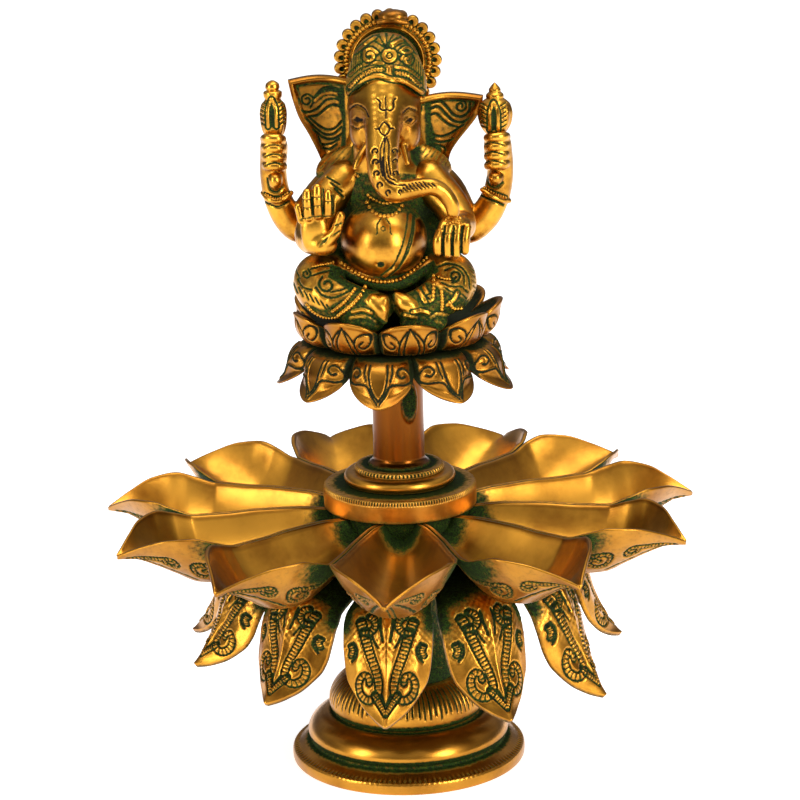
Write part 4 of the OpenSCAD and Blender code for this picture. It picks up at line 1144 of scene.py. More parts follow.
class Hollows:
    """How shut in every place of the figure is: the share of metal within a few mm of it. On a
    flat face it is one half."""
    CELL = 1.0
    LOW = np.array([-56.0, -52.0, 172.0])
    SIZE = (110, 84, 132)
    REACHES = (1.6, 5.0)

    def __init__(self, fields, extra):
        axes = [self.LOW[k] + self.CELL * np.arange(self.SIZE[k]) for k in range(3)]
        grid = np.stack(np.meshgrid(*axes, indexing="ij"), -1).reshape(-1, 3)
        solid = np.zeros(len(grid), np.float32)
        for field in fields:
            top = field.low + field.cell * (np.array(field.value.shape) - 1)
            within = np.flatnonzero(((grid >= field.low) & (grid <= top)).all(1))
            metal = sample(field.value, field.low, field.cell, grid[within])
            solid[within] = np.maximum(solid[within], np.clip(0.5 - metal, 0, 1))
        solid = solid.reshape(self.SIZE)
        for shape in extra:
            solid = np.maximum(solid, shape(*np.meshgrid(*axes, indexing="ij", sparse=True)))
        self.levels = [self.blur(solid, reach) for reach in self.REACHES]

    @staticmethod
    def blur(values, reach):
        taps = np.arange(-int(2.5 * reach), int(2.5 * reach) + 1)
        weights = np.exp(-0.5 * (taps / reach) ** 2)
        weights /= weights.sum()
        for axis in range(3):
            values = sum(w * np.roll(values, t, axis) for w, t in zip(weights, taps))
        return values

    def at(self, points, normals):
        return (sample(level, self.LOW, self.CELL, points + normals * 0.4) for level in self.levels)


class Profile:
    """A round form about an upright axis: its radius is a curve through given heights."""

    def __init__(self, centre, rows):
        self.centre = centre
        self.rows = np.asarray(rows, float)

    def join(self, field, blend, rim=None, rib=None):
        """Adds the form to a field. Rim is its lower edge, and rib stands out of its side."""
        (x0, y0), rows = self.centre, self.rows
        reach = rows[:, 1].max() + 3
        where, (x, y, z) = field.window((x0 - reach, y0 - reach, rows[0, 0] - 2),
                                        (x0 + reach, y0 + reach, rows[-1, 0] + 2))
        gap = np.hypot(x - x0, y - y0) - eased(z, rows[:, 0], rows[:, 1])
        if rib is not None:
            gap = gap - rib(np.arctan2(x - x0, y0 - y), z)
        gap = np.maximum(0.85 * gap, np.maximum(rows[0, 0] - z, z - rows[-1, 0]))
        if rim is not None:
            gap = np.maximum(gap, rim(x, y) - z)
        field.join(where, gap.astype(np.float32), blend)


def crown_rim(x, y):
    """The crown's lower edge: it arches up over the brow and falls to the ears."""
    return 275.3 - 8.6 * ((x + 2) / 14) ** 2 - 5.0 * np.clip((y + 8) / 10, 0, 1)


LEFT_BUD = Profile((-44.4, 3.6), [
    [249.6, 2.6], [251.6, 4.0], [255, 4.9], [259, 5.2], [262.4, 4.6], [264.8, 3.0], [265.4, 3.5],
    [267.4, 3.6], [268.1, 2.2], [268.7, 2.8], [270.2, 2.6], [271.5, 1.2], [271.9, 0.1]])
RIGHT_BUD = Profile((39.9, 3.6), [
    [248.2, 2.8], [250.2, 4.4], [253.6, 6.2], [257, 6.7], [260.2, 6.0], [262.2, 4.2], [262.8, 3.2],
    [263.4, 3.5], [264.6, 3.1], [265.2, 2.2], [265.7, 2.4], [267.6, 1.3], [268.9, 0.1]])
CROWN = Profile((-1.2, -7.5), [
    [262, 13.6], [266, 14.6], [269, 15.2], [272, 15.1], [276, 14.2], [280, 12.9], [284, 11.2],
    [286.6, 9.2], [288.6, 6.6], [289.6, 4.4], [290.2, 0.4]])


def torso_field():
    """Trunk of the body, belly, folded legs and the feet with what lies between them."""
    field = Field((-42, -38, 177), (36, 24, 250), 0.49)
    field.blob((-2.5, 2.4, 187), (24, 19, 11), 3)
    field.blob((-2.6, -2.5, 229), (19, 12.5, 15), 3)
    field.blob((-18, -2, 233), (8.5, 8, 8.5), 3)
    field.blob((13.5, -2, 233), (8.5, 8, 8.5), 3)
    field.limb([[-3, -3, 234, 12], [-3.6, -5, 246, 11]], 3)
    field.limb([[-11.6, 2.4, 191.3, 12.7], [-20.1, -5.4, 194.9, 12.1], [-27.6, -12.1, 196.9, 10.9],
                [-26.1, -21.1, 194, 9.0], [-16.5, -26.6, 191.3, 7.2], [-6.2, -27.6, 189.6, 5.6]], 2)
    field.limb([[7.6, 2.4, 191.3, 12.7], [13.7, -5.4, 194.9, 12.1], [20.3, -12.1, 196.1, 10.9],
                [19.7, -20.8, 193.7, 8.7], [12.5, -27.2, 191, 6.8], [5.0, -28.4, 189.6, 5.2]], 2)
    field.blob((-2.5, 1, 211), (27, 11, 21), 3)
    field.blob((-3, 3, 236), (26, 7.5, 12.5), 3)
    field.limb([[-22, -12, 204, 2.6], [-13, -20.5, 199.8, 2.6], [-4, -24, 197.6, 2.6],
                [5, -21.5, 198.4, 2.6], [14, -13, 203.2, 2.6]], 1.0)
    field.blob((-3.6, -12.5, 212.6), (16.4, 20, 15.4), 0.6)
    field.limb([[-8.0, -31.8, 192.8, 2.9], [-5.6, -33, 190, 2.9], [-4.3, -34, 185.8, 1.5]], 0.8)
    field.limb([[-4.2, -31.8, 193, 2.2], [-4.2, -33, 190, 2.2]], 0.8)
    field.limb([[0.7, -32, 194.8, 1.6], [3.6, -33, 192.2, 3.2], [6.0, -33, 190.2, 3.2],
                [4.2, -34, 187.4, 1.5]], 0.5)
    field.blob((-12, -29, 184.6), (8, 5, 5), 1.5)
    field.blob((10.5, -29, 184), (9, 5, 5), 1.5)
    field.above(FIGURE_FLOOR)
    return field


def fist(field, side, heights, x_out, x_in):
    """Four fingers that wrap a stem, from the outer side round the front."""
    middle = (x_out + x_in) / 2
    field.blob((middle, 2.6, sum(heights) / 4), (abs(x_out - x_in) / 2 + 0.6, 4.6, 8.6), 1.0)
    for z in heights:
        field.limb([[x_out - side * 0.9, 2.2, z - 0.5, 1.8], [middle + side * 1.8, -1.2, z + 0.2, 2.0],
                    [middle - side * 1.6, -1.8, z, 2.0], [x_in + side * 0.9, 0.4, z - 0.6, 1.8]], 0.3)


def left_arms_field():
    """The two arms on the picture's left: one holds a bud up, one shows its palm."""
    field = Field((-54, -38, 204), (-10, 16, 256), 0.44)
    field.limb([[-17.7, 2.4, 234.7, 7.2], [-24.9, 4.8, 228.7, 7], [-32.2, 6, 219.6, 6.75],
                [-35.4, 6, 214.4, 6.2], [-40.2, 5.4, 218.4, 5.9], [-44.0, 4.8, 226.5, 5.3],
                [-45.3, 4.2, 236, 5.1], [-44.6, 3.6, 246.4, 5.2]], 1.5)
    fist(field, -1, (250.2, 246.6, 243.1, 239.7), -48.9, -40.5)
    field.blob((-44.4, -0.6, 234), (2.7, 3.2, 3.4), 0.5)
    field.limb([[-49.6, 4.4, 228.4, 1.0], [-47.4, 0.2, 226.8, 1.1], [-44, -1.1, 226.2, 1.1],
                [-40.6, -0.2, 227, 1.1], [-38.6, 2.5, 228.6, 1.0]], 0.3)
    field.limb([[-17.7, -4.8, 234.1, 7.8], [-26.1, -9.6, 226.2, 7.2], [-31, -16.5, 216, 6.3],
                [-29.6, -24.5, 214.8, 5.0]], 1.5)
    field.blob((-29.2, -27.8, 219.5), (5.4, 2.8, 8.4), 1.2)
    field.blob((-26.2, -28.4, 214.2), (5.2, 3.6, 4.2), 1.2)
    for rows in ([[-34.0, -28.0, 223.6, 1.6], [-35.2, -27.6, 228.6, 1.45]],
                 [[-31.2, -29.4, 225, 1.9], [-31.7, -29.8, 231, 1.85], [-31.6, -29.4, 234.2, 1.75]],
                 [[-27.7, -29.8, 226, 2.0], [-27.9, -30.2, 232, 1.9], [-27.8, -29.8, 236.0, 1.8]],
                 [[-24.0, -29.4, 226, 1.9], [-23.7, -30, 231, 1.8], [-23.8, -29.6, 233.8, 1.65]],
                 [[-25, -29.6, 215.5, 2.8], [-21.5, -30.8, 219.5, 2.1], [-19.4, -31.2, 225.6, 1.75]]):
        field.limb(rows, 0.25)
    return field


def right_arms_field():
    """The two arms on the picture's right: one holds a bud up, one is closed under the trunk."""
    field = Field((8, -38, 202), (50, 16, 255), 0.44)
    field.limb([[13.7, 2.4, 234.7, 7.5], [20.9, 4.8, 227.4, 7], [25.1, 6, 219, 6.75],
                [28.6, 6, 212.6, 6.3], [35.6, 5.4, 217.6, 5.9], [40.2, 4.8, 226.5, 5.3],
                [41.6, 4.2, 236, 5.0], [40.8, 3.6, 244.8, 5.2]], 1.5)
    fist(field, 1, (248.6, 245.0, 241.5, 238.0), 44.8, 36.0)
    field.blob((39.4, -0.8, 232.8), (3.0, 3.2, 2.8), 0.5)
    field.limb([[34.4, 1.5, 228, 1.0], [37.6, -0.8, 226, 1.1], [41.4, 0, 224, 1.1],
                [44.8, 3.8, 223, 1.0]], 0.3)
    field.limb([[13.7, -4.8, 233.5, 7.8], [21.5, -9.6, 225, 7], [25.2, -15.7, 218.4, 6.2],
                [24.4, -24.1, 219, 5]], 1.5)
    field.blob((22.2, -28.2, 219), (5.6, 3.2, 5.6), 1.0)
    field.blob((22.4, -26, 213.6), (6.4, 3.6, 5.0), 1.0)
    for x, top, tip in ((16.5, 218, 210.8), (20.0, 221, 210.0), (23.4, 221, 209.8),
                        (26.6, 219.5, 211.0)):
        field.limb([[x + 0.9, -29.4, top, 1.8], [x, -31.2, 215, 1.85], [x - 0.1, -30.6, tip, 1.7]],
                   0.25)
    return field


def head_field():
    """Skull, cheeks, trunk and tusks, with the crown on top."""
    field = Field((-21, -46, 224), (27, 12, 296), 0.42)
    field.blob((-2.2, -9, 262.2), (13.9, 15.5, 14.2), 1)
    field.blob((-9.6, -13.5, 254.5), (5.9, 8.0, 8.2), 2.5)
    field.blob((5.6, -13.5, 254), (5.8, 8.0, 8.2), 2.5)
    field.limb([[-2.2, -6, 248, 8.5], [-2.4, -12, 247, 6.5]], 2)
    field.limb([[-2.2, -16, 268, 8.6], [-2.5, -21.5, 260.5, 7.3], [-3.1, -26.5, 253.2, 6.3],
                [-3.4, -30.6, 246.4, 5.9], [-2.7, -33.6, 240, 5.5], [0.1, -35.2, 235.6, 4.7],
                [4.5, -35.6, 235.2, 4.0], [9.5, -35.4, 236, 3.6], [14.5, -35.0, 236.3, 3.2],
                [18.8, -34.4, 234, 3.0], [21.6, -34.0, 229.8, 2.8], [22.4, -33.6, 226.4, 2.4]], 1.6)
    field.limb([[-8.6, -22, 250, 1.9], [-11.6, -25.5, 246.2, 1.6], [-13.4, -27, 242.6, 1.0]], 0.4)
    field.limb([[4.4, -20, 249, 1.6], [5.8, -23, 243.4, 1.1]], 0.4)
    CROWN.join(field, 0.5, rim=crown_rim)
    return field


def bud_field(profile):
    """A ribbed bud: twelve ribs down its swelling, and plain rings at its neck and point."""
    (x0, y0), (low, neck, high) = profile.centre, profile.rows[[0, 5, -1], 0]
    field = Field((x0 - 8, y0 - 8, low - 1), (x0 + 8, y0 + 8, high + 1), 0.36)

    def rib(turn, z):
        swell = smooth((z - low - 1) / 2) * smooth((neck - 0.5 - z) / 1.5)
        return 0.34 * (np.abs(np.cos(turn * 6 + 0.5 * math.pi)) - 0.6) * swell

    profile.join(field, 0.2, rib=rib)
    return field


def front_of(field, x, z):
    """How far forward a field's metal comes at a place of its front view."""
    i, k = (np.clip(np.round((at - field.low[axis]) / field.cell).astype(int), 0,
                    field.value.shape[axis] - 1) for at, axis in ((x, 0), (z, 2)))
    return field.low[1] + field.cell * (field.value[i, :, k] < 0).argmax(1)


def bead_row(field, line, radius, pitch, sink=0.35):
    """Balls on the metal's front along a line of a front view."""
    path = spline(line, 12)
    run = np.r_[0, np.cumsum(np.linalg.norm(np.diff(path, axis=0), axis=1))]
    at = np.arange(pitch / 2, run[-1], pitch)
    x, z = np.interp(at, run, path[:, 0]), np.interp(at, run, path[:, 1])
    y = front_of(field, x, z)
    y = np.convolve(np.r_[y[0], y, y[-1]], [0.25, 0.5, 0.25], "valid") if len(y) > 2 else y
    return np.stack([x, y - radius * sink, z, np.full(len(x), radius)], -1)


def ball_mesh(balls):
    """One mesh of small balls, each a ring of seven points at each of three heights and two poles."""
    turn = np.arange(7) / 7 * 2 * math.pi
    rings = [np.stack([np.cos(turn) * math.cos(a), np.sin(turn) * math.cos(a),
                       np.full(7, math.sin(a))], -1) for a in (-0.9, 0.0, 0.9)]
    unit = np.vstack([[[0, 0, -1]]] + rings + [[[0, 0, 1]]])
    points = balls[:, None, :3] + balls[:, None, 3:] * unit[None]
    j = np.arange(7)
    k = (j + 1) % 7
    quads = np.vstack([np.stack([1 + 7 * r + j, 1 + 7 * r + k, 8 + 7 * r + k, 8 + 7 * r + j], -1)
                       for r in (0, 1)])
    caps = np.vstack([np.stack([0 * j, 1 + k, 1 + j], -1), np.stack([0 * j + 22, 15 + j, 15 + k], -1)])
    shift = 23 * np.arange(len(balls))[:, None, None]
    faces = [(part[None] + shift).reshape(-1, part.shape[1]) for part in (quads, caps)]
    return points.reshape(-1, 3), faces


def figure_skin(name, field, node, charts, green, hollows, material):
    """Draws a field's skin, lays its charts on, gives shut-in places their crust, and paints shade as
    brown tone where the metal is half shut in.
    """
    points, quads = field.skin()
    points = relaxed(points, quads)
    normals = point_normals(points, quads)
    near, wide = hollows.at(points, normals)
    patina = 0.95 * np.maximum(smooth((near - 0.53) / 0.13), smooth((wide - 0.60) / 0.16))
    # Brown tone from how shut in a place is: painted shade near the figure's hollows.
    tone = 0.75 * smooth((wide - 0.46) / 0.16)
    if green is not None:
        patina = np.maximum(patina, green(points))
    rise, soot = np.zeros(len(points)), np.zeros(len(points))
    for chart in charts:
        height, dark, clean = chart.lay(points, -normals[:, 1])
        patina = np.maximum(patina * (1 - clean), dark)
        soot = np.maximum(soot, chart.soot * smooth(dark * 4))
        tone = np.maximum(tone * (1 - 0.6 * clean), chart.tone(points))
        rise = np.where(np.abs(height) > np.abs(rise), height, rise)
    finish_cast(name, points + normals * rise[:, None], [quads], node, material,
                patina=np.clip(patina, 0, 1), tone=tone, soot=soot)


def head_charts():
    """The brow mark, the eyes and the trunk's chased scrolls, and the crown's drawing."""
    face = Chart(-35.0, 1.0)
    # Brown round both eyes: painted shade in the eye hollows.
    face.brown([[-17, 270], [-8.6, 270], [-8.2, 262], [-9.6, 248], [-16, 248]], 0.5)
    face.brown([[4, 268], [12, 268], [12, 246], [4, 246]], 0.5)
    face.patch([[-8, 273], [6, 273], [4, 262], [3.4, 250], [3.6, 243], [5, 239.6], [14, 239.8],
                [19, 239], [23, 233], [26, 224], [18, 222], [19, 231], [10, 233], [0, 230.6],
                [-7, 233], [-9.6, 243], [-9.6, 256]], -1.0, 0.0, 1.6)
    face.patch([[-15.5, 270], [12, 270], [11, 252], [4, 248], [-9, 248], [-14.5, 252]], -0.8, 0.0,
               2.5)
    face.line([[-1.5, 270], [-1.5, 266], [-1.5, 262.3]], 0.75)
    face.line([[-4.9, 269.6], [-3.6, 268.4], [-3.9, 266.4], [-2.8, 265.3], [-1.4, 265.5],
               [0.2, 265.2], [1.5, 266.2], [1.4, 268.2], [2.3, 269.7]], 0.75)
    face.line([[-2.2, 261], [-4.4, 258.4], [-2.2, 255.8], [0.0, 258.4], [-2.2, 261]], 0.7, steps=2)
    face.line([[-5.6, 258.4], [-4.9, 258.4]], 0.7)
    face.line([[0.5, 258.4], [1.2, 258.4]], 0.7)
    for x, z, radius, start in (
            (-5.7, 250, 1.5, 200), (-5.7, 246, 1.5, 200), (-5.4, 241.8, 1.4, 200),
            (-4.3, 237.4, 1.5, 220), (-1.3, 234.6, 1.3, 240), (3.2, 234.9, 1.0, 250)):
        face.curl(x, z, radius, 0.75, start, -1, 0.7)
    for x, z in ((1.3, 249.8), (1.4, 246.0), (1.3, 241.6)):
        face.curl(x, z, 1.3, 0.75, -20, 1, 0.65)
    for line in ([[-2.3, 255.2], [-3.9, 251], [-4.1, 245], [-3.4, 240.6]],
                 [[-2.0, 254.6], [-2.7, 249], [-2.7, 243], [-1.8, 239], [1, 237.6], [4.2, 237.3]],
                 [[-1.6, 255.2], [-0.6, 252], [-0.9, 246], [-0.3, 241.4]],
                 [[-3.2, 248], [-3.3, 244], [-2.6, 240.2], [0.4, 238.2]],
                 [[-1.9, 246], [-1.7, 242.6], [-0.9, 240.2], [1.4, 239.2]]):
        face.line(line, 0.6, -0.4)
    for k in range(9):
        x, z = 4.6 + 1.35 * k, 235.4 + 0.17 * k
        face.line([[x - 0.7, z + 0.9], [x + 0.5, z - 0.2]], 0.6, -0.4)
        if k < 6:
            face.line([[x, z + 2.2], [x + 0.9, z + 1.3]], 0.55, -0.35)
    eyes = Chart(-35.0, 1.0)
    eyes.line([[-15.3, 262.6], [-12.8, 264.4], [-10.4, 263.2], [-9.2, 261.4]], 0.9, 0.55, 0.3)
    eyes.line([[-15.2, 262.0], [-13, 260.6], [-10.4, 260.8], [-9.3, 261.2]], 0.8, 0.4, 0.2)
    eyes.patch([[-14.4, 262.0], [-12.8, 263.2], [-10.4, 262.2], [-10.4, 261.2], [-12.6, 261.0]], 0.85,
               -0.5, 0.5)
    eyes.line([[-14.6, 259.8], [-12.4, 258.6], [-10, 259.6]], 0.6, -0.3, 0.7)
    eyes.line([[-15, 266.4], [-12.4, 267.6], [-9.6, 266], [-8.2, 263]], 0.8, -0.4, 0.75)
    eyes.line([[4.9, 261], [7.2, 263], [9.8, 262.4]], 0.9, 0.5, 0.3)
    eyes.line([[5, 260.4], [7.4, 259.6], [9.6, 261.6]], 0.8, 0.4, 0.2)
    eyes.patch([[5.6, 260.9], [7.4, 262.2], [9, 261.8], [7.6, 260.4]], 0.85, -0.4, 0.5)
    eyes.line([[5, 264], [7.2, 265.8], [9.6, 265]], 0.8, -0.4, 0.7)
    crown = Chart(-10.0)
    crown.patch([[-17.5, 266.5], [-12, 271], [-5, 273.6], [0, 272], [7, 271.2], [13.6, 266.5],
                 [14.6, 274], [12.6, 283], [7, 290], [0, 293], [-7, 290.6], [-13.6, 284],
                 [-16.5, 274]], 0.42, 0.0, 1.0)
    crown.line([[-17, 267.2], [-12, 271.8], [-5, 274.3], [0, 272.8], [6, 271.6], [12.2, 267.6]], 1.7,
               0.8, 0.9)
    crown.beads([[-15.2, 270], [-11, 273.8], [-6.2, 276.2], [-2.2, 276.4]], 1.6, 1.15, 0.5)
    crown.beads([[2.2, 275.2], [7.4, 273.8], [11.4, 270.2]], 1.6, 1.15, 0.5)
    crown.line([[-14.6, 275], [-10.6, 278], [-6, 279.0], [-2.2, 278.7]], 0.9, 0.55, 0.8)
    crown.line([[2.4, 277.2], [7.2, 276.2], [11.4, 273]], 0.9, 0.55, 0.8)
    crown.patch([[-2.6, 281.6], [-1.6, 284.2], [0.3, 285], [2.4, 284.2], [3.4, 281.6], [2.4, 279],
                 [0.3, 278.4], [-1.6, 279]], -1.0, 0.7, 0.6)
    ring = np.linspace(0, 2 * math.pi, 13)
    for radius, width in ((3.1, 0.8), (1.1, 0.6)):
        crown.line(np.stack([0.3 + radius * np.cos(ring), 281.6 + radius * np.sin(ring)], -1), width,
                   -0.5, steps=2)
    crown.patch([[-0.9, 277], [0, 278], [0.9, 277], [0.7, 275.2], [0, 274.4], [-0.7, 275.2]], -1.0,
                0.8, 0.4)
    for line in ([[-0.6, 285.4], [-3.2, 287.4], [-5, 288.6]],
                 [[-0.2, 285.7], [-1.6, 288], [-2.2, 290.2]],
                 [[0.5, 285.8], [0.6, 288.4], [0.8, 291]], [[1.0, 285.6], [2.4, 288], [3.6, 289.8]],
                 [[1.4, 285.3], [4, 287], [6.4, 287.4]]):
        crown.line(line, 1.5, 0.6, 0.9)
    crown.curl(-7.1, 281.7, 3.0, 1.3, 20, 1, 1.1, 0.6)
    crown.curl(7.0, 279.8, 2.3, 1.2, 170, -1, 1.0, 0.6)
    crown.line([[4.4, 283.2], [6.6, 284.6], [8.6, 283.2], [6.4, 282.4], [4.4, 283.2]], 0.8, 0.5, 0.9)
    crown.line([[-12.4, 283.4], [-7, 287.4], [-4.6, 288.6]], 1.0, 0.6, 0.9)
    crown.line([[5.6, 288.4], [8, 286.4], [10.6, 283]], 1.0, 0.6, 0.9)
    for k in range(6):
        crown.line([[-13.8 + 0.8 * k, 282.4 + 0.4 * k], [-14.2 + 0.8 * k, 276.4]], 0.5, -0.3, 0.8)
        crown.line([[8.8 + 0.8 * k, 281.6 - 0.8 * k], [8.6 + 0.8 * k, 275.8 - 0.9 * k]], 0.5, -0.3,
                   0.8)
    return [face, eyes, crown]


def torso_charts():
    """The belly with its cord, navel and pendant, and the cloth and feet of the legs."""
    belly = Chart(-30.0)
    belly.patch([[-18.4, 208], [-14, 224.4], [-9, 227], [-3, 225.6], [3, 226.6], [8, 222],
                 [10.6, 214], [10, 207], [4, 202.8], [-4, 201.6], [-13, 204]], -1.0, 0.0, 1.2)
    belly.patch([[-24, 207], [-15, 202.4], [-4, 200], [6, 202], [15, 207], [17, 203], [6, 195],
                 [-4, 193], [-16, 196], [-25, 202]], 0.85, 0.0, 1.0)
    # Brown laid on the belly's left and right sides.
    belly.brown([[-19, 224], [-15, 224], [-13, 212], [-15, 203], [-20, 205]], 0.7)
    belly.brown([[7.6, 224], [12, 222], [12, 206], [8, 205], [6, 214]], 0.6)
    belly.patch([[-30, 226], [-14, 225], [-9, 226.4], [-3, 224.4], [4, 225.6], [9, 223], [20, 226],
                 [20, 240], [-30, 242]], 0.72, 0.0, 1.6)
    turn = np.linspace(0, 2 * math.pi, 9)[:-1]
    belly.patch(np.stack([-5 + 1.5 * np.cos(turn), 206.5 + 1.2 * np.sin(turn)], -1), 1.0, -1.4, 0.8)
    belly.patch([[-3.5, 224.6], [-1.6, 221.6], [-1.6, 219.6], [-3.6, 216.8], [-5.6, 219.6],
                 [-5.4, 221.6]], -0.5, 0.8, 0.5)
    belly.line([[-3.5, 225], [-1.2, 221.6], [-1.2, 219], [-0.6, 217.8]], 0.6, -0.35, 0.9)
    belly.line([[-3.5, 225], [-5.9, 221.6], [-6, 219], [-6.4, 217.8]], 0.6, -0.35, 0.9)
    ring = np.linspace(0, 2 * math.pi, 9)
    belly.line(np.stack([-3.7 + 0.8 * np.cos(ring), 220 + 0.8 * np.sin(ring)], -1), 0.5, -0.35, 0.9,
               steps=2)
    belly.line([[6.6, 224.6], [5.6, 218], [3.6, 211.6], [0.6, 205.6], [-4, 201.6]], 1.3, 0.8, 0.95)
    belly.line([[8.2, 224], [7.4, 217], [5.2, 210.4], [1.6, 204.4]], 0.7, -0.3, 0.9)
    legs = Chart(-25.0)
    legs.patch([[-12, 198], [-27, 189], [-34, 192], [-36, 186], [-26, 180], [36, 180], [30, 190],
                [14, 198], [8, 200], [-10, 200]], 0.72, 0.0, 2.0)
    legs.patch([[-11.4, 192.2], [-9, 194.6], [-3, 194.8], [-2.4, 190], [-3.3, 184], [-6.2, 186]],
               -1.0, 0.0, 0.8)
    legs.patch([[0, 195.8], [4, 194.3], [8.3, 191.2], [8.6, 189], [5, 187], [1.6, 186.5], [0.2, 191]],
               -1.0, 0.0, 0.8)
    legs.patch([[-38.6, 204], [-33, 208], [-26, 204.6], [-18, 201], [-13.6, 197.2], [-22, 192.8],
                [-28, 193], [-31, 197], [-37.6, 198]], 0.3, 0.0, 1.2)
    for k in range(10):
        legs.line([[-40.5 + 2.1 * k, 200 - 1.3 * k], [-38.9 + 2.1 * k, 196.2 - 1.1 * k]], 0.8, -0.35,
                  0.9)
    legs.patch([[16, 204.6], [22, 206.6], [28, 203], [31.4, 198], [30.6, 191], [26, 190], [19, 196]],
               0.3, 0.0, 1.2)
    legs.curl(-33.4, 202.6, 2.0, 1.2, 60, -1, 0.8)
    legs.line([[-31.4, 204.4], [-27, 205.4], [-22.6, 205]], 0.7, -0.4)
    legs.line([[-31.4, 201.8], [-27.4, 203], [-23.6, 203.8]], 0.7, -0.4)
    legs.curl(-25.4, 198.6, 3.4, 1.1, 120, 1, 1.0, -0.55)
    legs.curl(-21.6, 203.2, 2.2, 1.0, 200, 1, 0.8)
    legs.line([[-29.6, 197.4], [-27, 194.4], [-22.6, 193.6], [-18.4, 195.4], [-14.4, 197.6]], 0.9,
              -0.5)
    legs.line([[-24, 195.8], [-19.6, 196.6], [-15.6, 199.2]], 0.7, -0.4)
    legs.line([[-36.6, 200.4], [-34.8, 197.6], [-31.4, 196.6]], 0.8, -0.4)
    legs.line([[-37.4, 204], [-35.8, 200.8]], 0.6, -0.3)
    legs.line([[14.6, 200.8], [17.4, 199.6], [20.6, 199.2], [23.4, 198.4]], 0.8, -0.5)
    legs.curl(22.6, 200.4, 2.4, 1.2, 250, 1, 0.9)
    legs.line([[16.4, 203.8], [20.4, 205], [25.4, 203.4], [28, 199.4], [28.4, 195.4]], 0.8, -0.45)
    legs.line([[19, 202.6], [22.6, 203.6], [26, 200.8], [26.2, 197]], 0.7, -0.4)
    legs.line([[17.6, 198.2], [21, 196.6], [25, 196.2], [27.4, 194]], 0.7, -0.4)
    legs.line([[18.6, 196.4], [21.4, 194.4], [25, 193.4], [27, 191.4]], 0.6, -0.35)
    for k in range(6):
        legs.line([[28.4 + 0.4 * k, 203.4 - 2.4 * k], [30.2 + 0.2 * k, 201.6 - 2.2 * k]], 0.5, -0.3,
                  0.7)
    legs.curl(12.6, 192.8, 1.9, 1.1, 40, -1, 0.9, 0.7)
    legs.line([[7.6, 196.6], [9.4, 194.6], [11.2, 191.2]], 1.3, 0.6)
    legs.line([[10.4, 198.4], [11.2, 196], [12, 194.6]], 1.3, 0.6)
    legs.line([[6.6, 187.4], [10, 187.6], [14, 185.6], [17, 182]], 1.6, 0.7, 0.9)
    legs.line([[3.4, 186.4], [8, 185.2]], 1.2, 0.6, 0.9)
    for line in ([[-16, 188], [-12.4, 188.8], [-9, 187.4]], [[-17, 185.6], [-12, 186.2], [-7.6, 184]],
                 [[12, 184], [15.6, 186.4], [20, 185.2]], [[19.6, 189.6], [22, 191.4], [23.4, 194]]):
        legs.line(line, 1.3, 0.45, 0.9)
    return [belly, legs]


def left_charts():
    """The raised palm, and the arm behind it with its fist and armlets."""
    hand = Chart(-30.0)
    hand.patch([[-37, 229], [-35.4, 219], [-34, 211], [-22.6, 210.4], [-17.6, 218], [-17.4, 229],
                [-20.4, 229], [-22, 222], [-21.6, 236.4], [-26.2, 238.6], [-33, 236.6], [-36.6, 232]],
               -1.0, 0.0, 1.0)
    for x, z, half in ((-31.6, 231.6, 1.6), (-31.5, 228.6, 1.6), (-27.9, 232.6, 1.7),
                       (-27.9, 229.2, 1.7), (-23.9, 230.8, 1.6)):
        hand.line([[x - half, z], [x + half, z + 0.15]], 0.5, -0.3, 0.7)
    for x, low, high in ((-33.5, 225.4, 232), (-29.7, 226, 235), (-25.9, 226, 235.4),
                         (-22.2, 226, 233)):
        hand.line([[x, low], [x - 0.1, high]], 0.8, -0.4, 1.0)
    hand.line([[-19.0, 222.6], [-21.6, 221.8]], 0.6, -0.35, 0.85)
    hand.line([[-19.9, 219.4], [-22.4, 218.2]], 0.7, -0.4, 0.9)
    hand.line([[-34.6, 224.2], [-29, 225.2], [-22.4, 225.2]], 0.6, -0.3, 0.7)
    hand.patch([[-28, 213.6], [-26.8, 216.4], [-24, 217.8], [-25, 215.6]], 0.8, -0.3, 0.8)
    for k in range(3):
        hand.line([[-24.6 + 1.6 * k, 240 - 2.4 * k], [-19.6 + 0.6 * k, 236.8 - 2.4 * k]], 0.9, -0.45,
                  0.9)
    arm = Chart(-5.0)
    arm.patch([[-51, 238], [-51, 216], [-40, 206], [-34, 208], [-37, 226], [-39.4, 238], [-40, 252],
               [-49.4, 252]], -0.8, 0.0, 1.5)
    arm.line([[-47.6, 235.6], [-46.8, 231.6], [-44.2, 230.2], [-41.6, 232]], 0.9, -0.4, 0.8)
    for z in (248.2, 244.6, 241.2):
        arm.line([[-48.2, z - 0.6], [-45, z + 0.4], [-41.4, z - 0.2]], 0.7, -0.3, 0.75)
    arm.line([[-49, 230], [-44, 228.4], [-39.4, 230.2]], 0.9, -0.4, 0.9)
    arm.line([[-49, 226.4], [-44, 224.6], [-39.6, 226.4]], 0.8, -0.4, 0.9)
    return [hand, arm]


